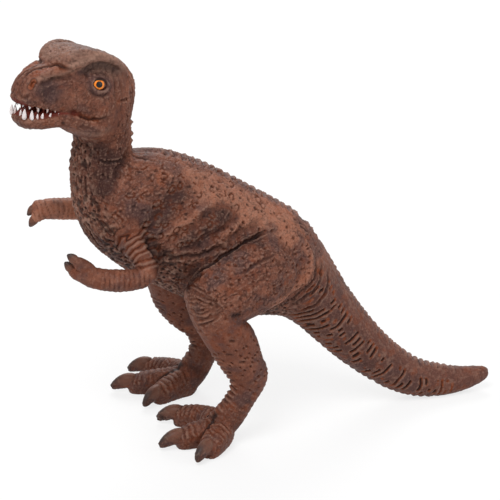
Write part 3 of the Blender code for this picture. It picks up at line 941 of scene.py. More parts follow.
class Paint(Nodes):
    """Nodes of one paint, from its base coat to its fine relief."""

    def __init__(self, name: str, base: Point, roughness: float, gloss: float = 0.16) -> None:
        """Start a material.

        Args:
            name: Its name.
            base: Its plain colour, in display values.
            roughness: How far its gloss is spread.
            gloss: How strong its gloss is.
        """
        self.material = bpy.data.materials.new(name)
        self.material.use_nodes = True
        super().__init__(self.material.node_tree)
        self.shader = self.tree.nodes["Principled BSDF"]
        self.shader.inputs["Base Color"].default_value = (*linear(base), 1.0)
        self.shader.inputs["Roughness"].default_value = roughness
        self.shader.inputs["Specular IOR Level"].default_value = gloss
        self.place = self.add("TexCoord").outputs["Object"]
        self.coat: Socket | Point = base

    def attribute(self, name: str) -> Socket:
        """Read a number stored on the piece's own points."""
        node = self.add("Attribute")
        node.attribute_name = name
        return node.outputs["Fac"]

    def zone(self, zone: Zone) -> Socket:
        """Read one of the paints stored on the skin's points."""
        return self.attribute(zone.value)

    def noise(self, size: float, detail: float = 2.0) -> Socket:
        """Soft noise fixed to the object.

        Args:
            size: The length of its bumps, in millimetres.
            detail: How many finer layers it has.

        Returns:
            The socket of its value.
        """
        node = self.add("TexNoise")
        node.inputs["Scale"].default_value = 1.0 / (size * MM)
        node.inputs["Detail"].default_value = detail
        self.join(self.place, node.inputs["Vector"])
        return node.outputs["Fac"]

    def furrows(self, size: float, width: float) -> Socket:
        """Fine winding lines fixed to the object.

        Args:
            size: How far apart they are, in millimetres.
            width: Their width, as a share of the noise that they follow.

        Returns:
            The socket of a value that is 1 on a line and 0 beside it.
        """
        off = self.math("SUBTRACT", self.noise(size, 1.0), 0.5)
        return self.spread(self.math("ABSOLUTE", off), width, 0.2 * width)

    def grain(self, size: float) -> Socket:
        """Tiny scales fixed to the object: the distance to each one's middle.

        Args:
            size: How far apart they are, in millimetres.

        Returns:
            The distance's socket.
        """
        node = self.add("TexVoronoi")
        node.inputs["Scale"].default_value = 1.0 / (size * MM)
        self.join(self.place, node.inputs["Vector"])
        return node.outputs["Distance"]

    def spread(self, value: Socket, start: float, end: float, high: float = 1.0) -> Socket:
        """Turn a value between two bounds softly into a share.

        Args:
            value: The socket to read.
            start: The value that gives 0.
            end: The value that gives the highest share.
            high: The highest share.

        Returns:
            The socket of the share.
        """
        node = self.add("MapRange")
        node.interpolation_type = "SMOOTHSTEP"
        node.inputs["From Min"].default_value = start
        node.inputs["From Max"].default_value = end
        node.inputs["To Max"].default_value = high
        self.join(value, node.inputs["Value"])
        return node.outputs["Result"]

    def lay(self, top: Point, share: Socket) -> None:
        """Lay a colour over all that is painted so far.

        Args:
            top: The colour, in display values.
            share: How much of it shows.
        """
        node = self.add("Mix")
        node.data_type = "RGBA"
        below, above = [item for item in node.inputs if item.type == "RGBA"]
        if isinstance(self.coat, tuple):
            below.default_value = (*linear(self.coat), 1.0)
        else:
            self.join(self.coat, below)
        above.default_value = (*linear(top), 1.0)
        self.join(share, node.inputs["Factor"])
        self.coat = [item for item in node.outputs if item.type == "RGBA"][0]

    def dab(self, top: Point, value: Socket, start: float, end: float, high: float = 1.0) -> None:
        """Lay a colour where a value goes from the start of its range to the end.

        Args:
            top: The colour, in display values.
            value: The socket to read.
            start: The value at which none of it shows.
            end: The value at which the most of it shows.
            high: How much that is.
        """
        self.lay(top, self.spread(value, start, end, high))

    def finish(self, gloss: Socket, height: Socket, depth: float) -> bpy.types.Material:
        """Join the colour, the gloss and the fine relief to the shader.

        Args:
            gloss: A share of 0 to 1 that widens the gloss.
            height: The fine relief's socket.
            depth: How deep that relief is, in millimetres.

        Returns:
            The finished material.
        """
        self.join(self.coat, self.shader.inputs["Base Color"])
        base = self.shader.inputs["Roughness"].default_value
        rough = self.scaled(gloss, base - 0.08, base + 0.14)
        self.join(rough, self.shader.inputs["Roughness"])
        bump = self.add("Bump")
        bump.inputs["Distance"].default_value = depth * MM
        self.join(height, bump.inputs["Height"])
        self.join(bump.outputs["Normal"], self.shader.inputs["Normal"])
        return self.material


@dataclass(frozen=True)
class Vinyl:
    """Soft plastic in a brown coat, with washes, stripes and light dry brushing, and with painted shade
    and painted highlights laid in the same paints.
    """

    name: str = "painted_vinyl"
    coat: Point = (104, 61, 46)
    light: Point = (154, 100, 78)
    # The dark colour of the stripes and of painted shade.
    stripe_and_shade: Point = (56, 30, 25)
    cool: Point = (73, 50, 48)
    warm: Point = (122, 58, 27)
    # The dark colour of the wash and of painted shade.
    wash: Point = (28, 8, 3)
    # The pale colour of light dry brushing and of painted highlights.
    rub: Point = (150, 116, 100)
    mouth: Point = (92, 34, 24)
    roughness: float = 0.52

    def material(self) -> bpy.types.Material:
        """The paint, driven by what was stored on the skin while it was sculpted."""
        paint = Paint(self.name, self.coat, self.roughness)
        mottle = paint.noise(5.0, 4.0)
        blotch = paint.noise(1.5, 3.0)
        speck = paint.noise(0.55, 2.0)
        furrow = paint.math("MULTIPLY", paint.furrows(1.3, 0.045), paint.zone(Zone.GRAIN))
        paint.dab(self.light, mottle, 0.50, 0.75, 0.4)
        paint.dab(self.stripe_and_shade, mottle, 0.48, 0.26, 0.4)
        paint.dab(self.light, blotch, 0.52, 0.78, 0.35)
        paint.dab(self.cool, blotch, 0.46, 0.26, 0.4)
        # Lighter and darker tone: paint bands and stripes, with painted highlight on tops and painted
        # shade underneath.
        paint.dab(self.light, paint.zone(Zone.TONE), 0.0, 1.0, 0.9)
        paint.dab(self.stripe_and_shade, paint.zone(Zone.TONE), 0.0, -1.0, 0.9)
        # A cool grey, also laid as painted shade under the brow and in the hollow before the eye.
        paint.lay(self.cool, paint.zone(Zone.COOL))
        paint.lay(self.warm, paint.zone(Zone.WARM))
        paint.dab(self.wash, speck, 0.42, 0.26, 0.4)
        # Light specks and brushing, with painted highlights on ridges and tops.
        paint.dab(self.rub, speck, 0.58, 0.76, 0.35)
        paint.lay(self.rub, paint.zone(Zone.RUB))
        paint.dab(self.wash, furrow, 0.0, 1.0, 0.35)
        # The dark wash, with painted shade in hollows and under the brow.
        paint.lay(self.wash, paint.zone(Zone.WASH))
        paint.lay(self.mouth, paint.zone(Zone.MOUTH))
        return paint.finish(blotch, paint.grain(0.5), 0.06)


@dataclass(frozen=True)
class Horn:
    """The claws' grey paint, darker and glossier toward the tip."""

    name: str = "claw_paint"
    base: Point = (106, 68, 54)
    dark: Point = (44, 38, 38)
    edge: Point = (128, 104, 90)
    roughness: float = 0.42

    def material(self) -> bpy.types.Material:
        """The paint, with its darkness read from the claw's own points."""
        paint = Paint(self.name, self.base, self.roughness)
        cloud = paint.noise(1.6, 3.0)
        streak = paint.noise(0.5, 2.0)
        paint.lay(self.dark, paint.attribute("tip"))
        paint.dab(self.edge, cloud, 0.50, 0.78, 0.4)
        paint.dab(self.dark, streak, 0.44, 0.26, 0.5)
        return paint.finish(cloud, streak, 0.05)


@dataclass(frozen=True)
class Enamel:
    """The white of the teeth, stained where they leave the gum."""

    name: str = "tooth_paint"
    white: Point = (218, 209, 208)
    stain: Point = (150, 96, 72)
    roughness: float = 0.34

    def material(self) -> bpy.types.Material:
        """The paint, with its stain read from the tooth's own points."""
        paint = Paint(self.name, self.white, self.roughness)
        cloud = paint.noise(0.8, 2.0)
        paint.lay(self.stain, paint.attribute("root"))
        paint.dab(self.stain, cloud, 0.56, 0.80, 0.35)
        return paint.finish(cloud, cloud, 0.02)


@dataclass(frozen=True)
class Iris:
    """A glossy painted eye: a dark pupil in an orange iris with a dark rim."""

    name: str = "eye_paint"
    iris: Point = (232, 126, 30)
    inner: Point = (242, 152, 52)
    rim: Point = (60, 26, 14)
    pupil: Point = (14, 12, 14)
    roughness: float = 0.16

    def material(self) -> bpy.types.Material:
        """The paint, laid in circles about the direction in which the eye looks."""
        paint = Paint(self.name, self.iris, self.roughness, 0.3)
        angle = paint.attribute("gaze")
        fibre = paint.noise(0.35, 2.0)
        paint.dab(self.inner, fibre, 0.45, 0.70, 0.7)
        paint.dab(self.rim, angle, 40.0, 52.0)
        paint.dab(self.pupil, angle, 28.0, 25.0)
        return paint.finish(fibre, fibre, 0.01)


def both_sides(path: np.ndarray) -> list[np.ndarray]:
    """Carry a path in millimetres to both sides of the animal."""
    return [path * MM, mirrored(path * MM)]


def on_head(path: np.ndarray) -> list[np.ndarray]:
    """Carry a path in the head's own axes, with its second column outward, to both sides."""
    return [np.array([HEAD_AXES.place(point, side) for point in path]) for side in Side]


def around(points: np.ndarray, path: Path, width: float) -> np.ndarray:
    """A soft sleeve around paths on both sides, from 1 on them to 0 past the width.

    Args:
        points: Where to read it.
        path: The middle line, in millimetres.
        width: The reach in millimetres.

    Returns:
        One share for each point.
    """
    away = np.minimum(*(along_path(points, line)[0] for line in both_sides(np.array(path))))
    return fade(away, width * MM, 0.35 * width * MM)


@dataclass(frozen=True)
class Seam:
    """A flat seam between two mouldings, and the way out of the torso across it."""

    middle: Point
    way: Point

    def beyond(self, points: np.ndarray) -> np.ndarray:
        """How far points lie past the seam, in metres."""
        return (points - np.array(self.middle) * MM) @ np.array(self.way)


NECK_SEAM = Seam((-55.6, -7.2, 91.6), (-0.7986, 0.0, 0.6018))
TAIL_SEAM = Seam((14.6, -7.2, 52.5), (0.8988, 0.0, -0.4384))
GIRTHS = ((0.0, 36.0, 60.0, 105.0, 125.0, 145.0, 165.0, 185.0, 203.0),
          (11.0, 12.0, 17.0, 15.0, 12.0, 9.0, 6.5, 4.8, 2.5))
LEG_WIDTHS = ((0.0, 9.0, 18.0, 26.0, 45.0, 70.0, 90.0), (17.5, 17.0, 16.0, 15.0, 13.0, 28.0, 36.0))
ARM_WIDTHS = ((0.0, 12.0, 20.0, 50.0), (6.5, 7.0, 7.0, 9.0))


class Piece(Enum):
    """The moulded pieces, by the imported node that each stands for."""

    HEAD = "head"
    TORSO = "torso"
    TAIL = "tail"
    LEFT_LEG = "left_leg"
    RIGHT_LEG = "right_leg"
    LEFT_ARM = "left_arm"
    RIGHT_ARM = "right_arm"


@dataclass(frozen=True)
class Limb:
    """A limb's middle line, its side, and its radius against the distance along the line."""

    line: Armature
    side: Side
    widths: tuple[tuple[float, ...], tuple[float, ...]]

    def depth(self, points: np.ndarray) -> tuple[np.ndarray, np.ndarray]:
        """How deep points lie in the limb.

        Args:
            points: The points to measure.

        Returns:
            A depth above 0 inside the limb, as a share of its radius, and the
            distance along the line in millimetres.
        """
        away, travel = along_path(points, self.line.points())
        travel = travel / MM
        radius = np.interp(travel, *self.widths)
        outer = fade((points[:, 1] - MIDDLE_ASIDE) * self.side.value, 1.0 * MM, 3.0 * MM)
        return (1.0 - away / (radius * MM)) * outer - (1.0 - outer), travel


LIMBS: dict[Piece, Limb] = {
    Piece.LEFT_LEG: Limb(Armature.LEFT_LEG, Side.LEFT, LEG_WIDTHS),
    Piece.RIGHT_LEG: Limb(Armature.RIGHT_LEG, Side.RIGHT, LEG_WIDTHS),
    Piece.LEFT_ARM: Limb(Armature.LEFT_ARM, Side.LEFT, ARM_WIDTHS),
    Piece.RIGHT_ARM: Limb(Armature.RIGHT_ARM, Side.RIGHT, ARM_WIDTHS),
}


@dataclass
class Survey:
    """Where each point of a skin lies on the animal.

    Head holds the head's own axes. Travel and above are measured from the spine, and
    aside from the middle plane, all in millimetres. Wrap is the skin rolled out flat.
    Face, neck, tail, trunk and limbs are shares of 0 to 1, and travels is the
    distance along each limb in millimetres.
    """

    head: np.ndarray
    face: np.ndarray
    travel: np.ndarray
    above: np.ndarray
    aside: np.ndarray
    wrap: np.ndarray
    neck: np.ndarray
    tail: np.ndarray
    trunk: np.ndarray
    limbs: dict[Piece, np.ndarray]
    travels: dict[Piece, np.ndarray]


def survey(points: np.ndarray) -> Survey:
    """Find where each point lies on the animal, before it is sculpted.

    Args:
        points: The skin's points.

    Returns:
        Their shares and measures.
    """
    head = HEAD_AXES.local(points)
    face = fade(head[:, 0], -14.0, -8.0) * fade(head[:, 2], -23.0, -19.0)
    spine = Armature.SPINE.points()
    _, travel = along_path(points, spine)
    aside = (points[:, 1] - MIDDLE_ASIDE) / MM
    reach = np.concatenate([[0.0], np.cumsum(np.linalg.norm(np.diff(spine, axis=0), axis=1))])
    middle_x, middle_z = (np.interp(travel, reach, spine[:, axis]) for axis in (0, 2))
    way_x, way_z = (np.interp(travel, reach, np.gradient(spine[:, axis], reach)) for axis in (0, 2))
    above = ((points[:, 2] - middle_z) * way_x - (points[:, 0] - middle_x) * way_z) / MM
    girth = np.interp(travel / MM, *GIRTHS)
    neck = fade(NECK_SEAM.beyond(points) / MM, -3.0, 3.0)
    past_tail = TAIL_SEAM.beyond(points) / MM
    tail = fade(past_tail, -4.0, 4.0)
    limbs, travels = {}, {}
    for piece, limb in LIMBS.items():
        depth, travels[piece] = limb.depth(points)
        limbs[piece] = fade(depth, -0.02, 0.10) * (past_tail < 0.0)
    arms = np.maximum(limbs[Piece.LEFT_ARM], limbs[Piece.RIGHT_ARM])
    return Survey(
        head=head, face=face, travel=travel / MM, above=above, aside=aside,
        wrap=np.stack([travel, np.arctan2(aside, above) * girth * MM], axis=1),
        neck=neck * (1.0 - face) * (1.0 - arms), tail=tail,
        trunk=1.0 - np.maximum.reduce([*limbs.values(), neck, tail]),
        limbs=limbs, travels=travels)


@dataclass(frozen=True)
class Face:
    """The skull and jaws. Strokes are in the head's axes: ahead, outward and up."""

    forms: tuple[Stroke, ...] = (
        # The brow ridge, lightened as a painted highlight.
        Stroke(((10.1, 8.4, 0.8), (5.9, 9.3, 3.8), (1.7, 10.8, 6.4), (-5.8, 10.8, 6.2),
                (-9.7, 10.2, 4.9)), 1.6, 0.75, tint=0.6),
        Stroke(((19.0, 5.2, -4.6), (14.5, 5.8, -2.4), (10.8, 7.0, -0.8)), 1.3, 0.55, tint=0.2),
        # The hollow before the eye, darkened as painted shade.
        Stroke(((16.6, 6.8, -9.6), (13.4, 7.5, -8.4)), 3.0, -0.8, wash=0.15, tint=-1.0),
        Stroke(((13.2, 2.0, 3.0), (11.0, 5.0, 5.4), (6.7, 7.9, 7.6), (0.5, 8.9, 8.3),
                (-5.0, 9.3, 7.8)), 0.9, 0.40, tint=0.3),
        Stroke(((-4.5, 10.6, -9.5), (-7.5, 10.6, -11.0)), 4.0, 0.7),
        Stroke(((21.3, 3.6, -12.6), (17.5, 5.0, -13.2), (13.0, 6.0, -13.4), (8.0, 7.4, -12.8)),
               1.2, 0.4, tint=0.1),
        Stroke(((19.8, 3.2, -19.6), (15.4, 5.8, -19.0), (10.4, 6.8, -17.0)), 1.2, 0.3, tint=0.1),
        Stroke(((7.0, 8.6, -9.0), (3.0, 9.6, -10.0)), 3.0, 0.35, tint=0.12),
    )
    creases: tuple[Stroke, ...] = (
        Stroke(((22.0, 1.2, -6.7), (20.5, 0.9, -4.6), (17.8, 1.1, -2.4), (14.5, 2.3, -0.8),
                (13.5, 3.9, 0.2), (12.5, 6.9, 0.1), (9.5, 8.2, 0.1)), 0.5, -0.7, Edge.CRISP, 0.2, 0.9),
        Stroke(((18.7, 6.0, -7.8), (14.0, 6.6, -4.2), (9.9, 7.7, -2.3), (7.6, 8.7, -2.0)),
               0.8, -0.6, wash=0.5, tint=-0.3),
        Stroke(((22.4, 1.2, -10.0), (22.2, 2.5, -12.1), (21.6, 4.3, -12.3), (21.0, 5.2, -10.8)),
               0.45, -0.4, Edge.CRISP, 0.15, 0.5),
        Stroke(((16.4, 7.0, -6.9), (16.9, 7.0, -9.0)), 0.35, -0.15, wash=0.3),
        Stroke(((14.6, 7.3, -6.2), (15.1, 7.4, -8.9)), 0.35, -0.15, wash=0.35),
        Stroke(((12.8, 7.6, -5.6), (13.2, 7.7, -8.4)), 0.35, -0.15, wash=0.3),
        # The groove under the brow, darkened as painted shadow.
        Stroke(((5.3, 9.0, 0.4), (2.7, 9.6, 2.3), (-0.4, 10.4, 3.7), (-5.5, 10.4, 3.5),
                (-9.0, 10.2, 2.5)), 1.4, -1.0, wash=0.5, tint=-1.0),
        Stroke(((3.6, 9.6, 0.9), (3.2, 9.9, -0.9)), 0.7, -0.5, wash=0.7),
        Stroke(((2.5, 9.9, 0.0), (0.4, 10.4, 1.4), (-1.8, 10.6, 1.8), (-4.6, 10.6, 1.2)),
               0.45, -0.4, Edge.CRISP, 0.15, 0.6),
        Stroke(((2.1, 10.6, -4.6), (-0.1, 11.0, -6.1), (-3.4, 11.1, -6.1), (-5.4, 11.0, -4.2)),
               0.5, -0.45, Edge.CRISP, 0.2, 0.7),
        Stroke(((3.0, 8.5, -13.9), (-0.1, 9.8, -14.4), (-3.6, 10.4, -14.0), (-6.4, 10.9, -12.0)),
               0.55, -0.8, Edge.CRISP, 0.25, 0.95),
        Stroke(((5.2, 8.2, -13.2), (3.4, 8.4, -13.7)), 0.8, -0.6, wash=0.8),
        Stroke(((-10.6, 11.0, -6.4), (-13.6, 10.7, -5.5)), 0.4, -0.6, Edge.CRISP, 0.2, 0.5),
        Stroke(((-6.7, 10.4, 2.6), (-8.1, 10.9, -3.2), (-9.9, 11.2, -9.5)), 0.6, -0.35, wash=0.35),
        Stroke(((-9.4, 10.2, 1.6), (-10.9, 10.6, -4.0), (-12.4, 10.8, -10.5)), 0.6, -0.35, wash=0.35),
        Stroke(((7.3, 7.6, -17.0), (6.2, 7.8, -18.2)), 0.5, -0.4, wash=0.8),
        Stroke(((0.8, 8.8, -16.2), (-3.8, 9.8, -16.6)), 0.4, -0.3, wash=0.4),
    )
    # Paints, painted shade and painted highlights laid along paths on both sides.
    paint_shade_and_highlights: tuple[tuple[Zone, Path, float, float], ...] = (
        # Painted shade in the hollow before the eye.
        (Zone.COOL, ((17.7, 6.5, -8.5), (12.6, 7.6, -6.9), (13.5, 7.5, -10.0)), 2.9, 0.95),
        (Zone.WASH, ((16.7, 6.7, -8.6), (13.0, 7.6, -7.2)), 2.1, 0.35),
        # Painted shadow under the brow.
        (Zone.COOL, ((5.3, 8.8, 0.2), (2.7, 9.0, 2.1), (-0.4, 9.5, 4.1), (-5.5, 9.3, 4.3),
                  (-9.0, 9.4, 3.7)), 2.4, 0.9),
        (Zone.WASH, ((5.3, 8.8, -0.6), (2.7, 9.0, 1.3), (-0.4, 9.5, 3.2), (-5.5, 9.3, 3.4)), 1.6, 0.55),
        # Painted highlight along the brow ridge.
        (Zone.RUB, ((10.1, 8.4, 1.2), (5.9, 9.3, 4.6), (1.7, 11.3, 7.2), (-5.8, 11.2, 7.2),
                 (-9.7, 10.4, 6.1)), 1.5, 0.8),
        # Painted highlight along the nasal ridge.
        (Zone.RUB, ((19.2, 5.2, -5.4), (14.5, 6.4, -3.2), (10.8, 7.4, -1.3), (8.5, 8.4, 0.6)), 0.9, 0.6),
        (Zone.WARM, ((19.4, 3.0, -4.2), (14.6, 4.6, -1.8), (10.8, 6.6, -0.5)), 1.9, 0.75),
        (Zone.MOUTH, ((4.2, 8.2, -13.5), (3.2, 8.4, -13.8)), 1.0, 0.9),
        (Zone.WARM, ((3.0, 8.5, -13.9), (-0.1, 9.8, -14.4), (-3.6, 10.4, -14.0)), 1.2, 1.0),
        (Zone.WARM, ((-10.6, 11.2, -6.4), (-13.6, 10.7, -5.5)), 1.0, 1.0),
        # Painted highlight along the lower jaw.
        (Zone.RUB, ((-1.0, 7.1, -18.6), (-4.7, 9.5, -18.0), (-8.9, 10.2, -16.4)), 1.5, 0.4),
    )
    nostril: Path = ((21.0, 5.0, -8.4), (20.1, 4.8, -6.4))
    eye: Point = (-1.7, 9.15, -2.5)
    eye_reach: Point = (2.8, 2.3, 2.15)
    lids: tuple[Stroke, ...] = (
        Stroke(((0.2, 11.4, -2.6), (-3.5, 11.4, -2.2)), 1.35, -1.1, tint=-0.5),
        Stroke(((1.7, 10.6, -3.0), (0.5, 11.1, -1.0), (-1.7, 11.5, -0.3), (-3.8, 11.2, -0.8),
                (-5.4, 10.7, -2.0)), 0.55, 0.55, tint=-0.6),
        Stroke(((1.7, 10.6, -3.0), (0.2, 11.1, -4.2), (-2.0, 11.4, -4.7), (-4.0, 11.2, -4.0),
                (-5.4, 10.7, -2.4)), 0.50, 0.5, tint=-0.5),
    )
    upper_lip: tuple[tuple[float, float], ...] = (
        (3.6, -13.4), (5.1, -13.5), (9.5, -14.1), (14.0, -14.5), (19.5, -14.4), (22.6, -13.4))
    lower_lip: tuple[tuple[float, float], ...] = (
        (3.6, -13.9), (5.0, -14.4), (7.6, -15.0), (10.4, -16.3), (15.4, -18.3), (19.5, -18.8),
        (22.6, -18.2))
    granules: Unrest = Unrest(0.9, 67, 3)
    unrest: Relief = Relief(Unrest(0.9, 61), 0.10)
    scales: Relief = Relief(Pebbles(1.0, 62), 0.13, 0.6)
    dots: Relief = Relief(Pits(1.6, 0.34, 63), -0.24, paints=((Zone.WASH, 0.50),))
    furrows: Relief = Relief(Wriggles(1.5, 66), -0.16, paints=((Zone.WASH, 0.40),))
    cheek_folds: Relief = Relief(Folds(tuple(HEAD_AXES.up), 1.2, 9.0, 68), 0.18)
    clouds: tuple[Cloud, ...] = (
        Cloud(Zone.COOL, 0.50, 4.0, 64, 0.0, 0.6),
        Cloud(Zone.WARM, 0.35, 3.0, 65, 0.25, 0.7),
    )

    def sculpt(self, skin: Skin, place: Survey) -> None:
        """Shape the face: blend its solid forms, raise and crease it, then paint it.

        Args:
            skin: The skin to sculpt.
            place: Where its points lie.
        """
        ahead, out, up = place.head[:, 0], np.abs(place.head[:, 1]), place.head[:, 2]
        gap = self.mouth_gap(ahead, up)
        loose = self.shape(skin, place, gap)
        local = np.stack([ahead, out, up], axis=1)
        hole, _ = along_path(local, np.array(self.nostril))
        skin.pending += 0.45 * MM * bell(hole, 1.55, 0.4) * place.face
        skin.stain(Zone.WARM, fade(hole, 1.3, 0.8))
        skin.stain(Zone.WASH, 0.75 * bell(hole, 1.05, 0.22))
        orbit = np.linalg.norm((local - np.array(self.eye)) / np.array(self.eye_reach), axis=1)
        skin.stain(Zone.WASH, 0.9 * fade(orbit, 1.28, 1.08))
        skin.stain(Zone.COOL, 0.8 * fade(orbit, 2.4, 1.4))
        skin.stain(Zone.MOUTH, np.clip(1.2 * gap * fade(out, 8.5, 7.5), 0.0, 1.0))
        roof = fade(up, -1.0, 3.0)
        self.unrest.lay(skin, place.face, skin.points)
        self.scales.lay(skin, place.face * (1.0 + roof), loose)
        calm = fade(orbit, 1.15, 1.7) * fade(hole, 1.6, 2.4)
        skin.pending *= calm
        self.dots.lay(skin, place.face * calm * (1.0 - 0.7 * roof), loose)
        self.furrows.lay(skin, place.face * calm, loose)
        cheek = place.face * fade(ahead, 8.0, 4.0) * fade(up, 4.0, 1.0)
        lines = self.cheek_folds.lay(skin, cheek, skin.points)
        skin.stain(Zone.WASH, 0.35 * cheek * fade(lines, 0.35, 0.0))
        skin.settle()
        # Painted highlight on top of the skull; the lower muzzle a little darker.
        muzzle = fade(ahead, 14.0, 20.0) * fade(up, -3.0, -8.0)
        skin.lighten(place.face * (0.45 * roof - 0.12 * muzzle))
        self.paint(skin, place.face, roof)

    def mouth_gap(self, ahead: np.ndarray, up: np.ndarray) -> np.ndarray:
        """Find the open mouth, between the edges of the lips.

        Args:
            ahead: How far ahead each point lies in the head's axes.
            up: How far up it lies.

        Returns:
            A share of 1 between the lips and 0 on them.
        """
        low, high = (np.interp(ahead, *zip(*line)) for line in (self.lower_lip, self.upper_lip))
        gap = fade(up, low - 0.2, low + 0.7) * fade(up, high + 0.2, high - 0.7)
        return gap * (fade(ahead, 3.4, 5.0) * fade(ahead, 24.0, 22.0))

    def shape(self, skin: Skin, place: Survey, gap: np.ndarray) -> np.ndarray:
        """Soften the joints of the solid forms, then lay the strokes.

        Args:
            skin: The skin to shape.
            place: Where its points lie.
            gap: The share of each point that lies between the lips.

        Returns:
            The points moved about, for the patterns to be read at.
        """
        ahead, up = place.head[:, 0], place.head[:, 2]
        brow = fade(ahead, -14.0, -11.0) * fade(ahead, 15.0, 11.0) * fade(up, -0.5, 1.5)
        skin.smooth(0.55 * MM, brow * 0.9)
        skin.smooth(1.4 * MM, gap)
        skin.smooth(0.45 * MM, place.face * 0.8)
        loose = skin.loose(0.30 * MM, 1.6 * MM)
        skin.carve(self.forms, on_head, loose)
        skin.settle()
        skin.smooth(0.4 * MM, place.face * 0.8)
        skin.carve(self.lids, on_head, skin.points)
        skin.settle()
        skin.carve(self.creases, on_head, loose)
        skin.carve((Stroke(self.nostril, 0.8, -1.3),), on_head, skin.points)
        skin.settle()
        return loose

    def paint(self, skin: Skin, face: np.ndarray, roof: np.ndarray) -> None:
        """Brush the face, with painted highlights on its ridges and the top of the skull, and painted
        shadow under the brow and in the hollow before the eye.

        Args:
            skin: The sculpted skin.
            face: The share of each point that is face.
            roof: How far it lies on top of the skull, from 0 to 1.
        """
        granular = within(face, skin.points, self.granules)
        level = face * roof * fade(skin.normals() @ np.array(HEAD_AXES.up), 0.80, 0.94)
        skin.lighten(-0.9 * level)
        skin.stain(Zone.COOL, np.maximum(face * roof * 0.6, 0.85 * level))
        # Light brushing over the face, with painted highlight on top of the skull.
        brushed_highlight = face * (0.12 + 0.50 * roof) - 0.30 * level
        skin.stain(Zone.RUB, brushed_highlight * fade(granular, -0.9 * roof - 0.1, 0.4))
        skin.stain(Zone.WASH, face * 0.35 * fade(granular, -0.2, -0.7))
        ragged = 1.0 + 0.35 * granular
        for zone, path, width, share in self.paint_shade_and_highlights:
            for laid in on_head(np.array(path)):
                away, _ = along_path(skin.points, skin.draped(laid))
                skin.stain(zone, face * share * bell(away * ragged, 0.0, width * MM))
        for cloud in self.clouds:
            cloud.lay(skin, face)


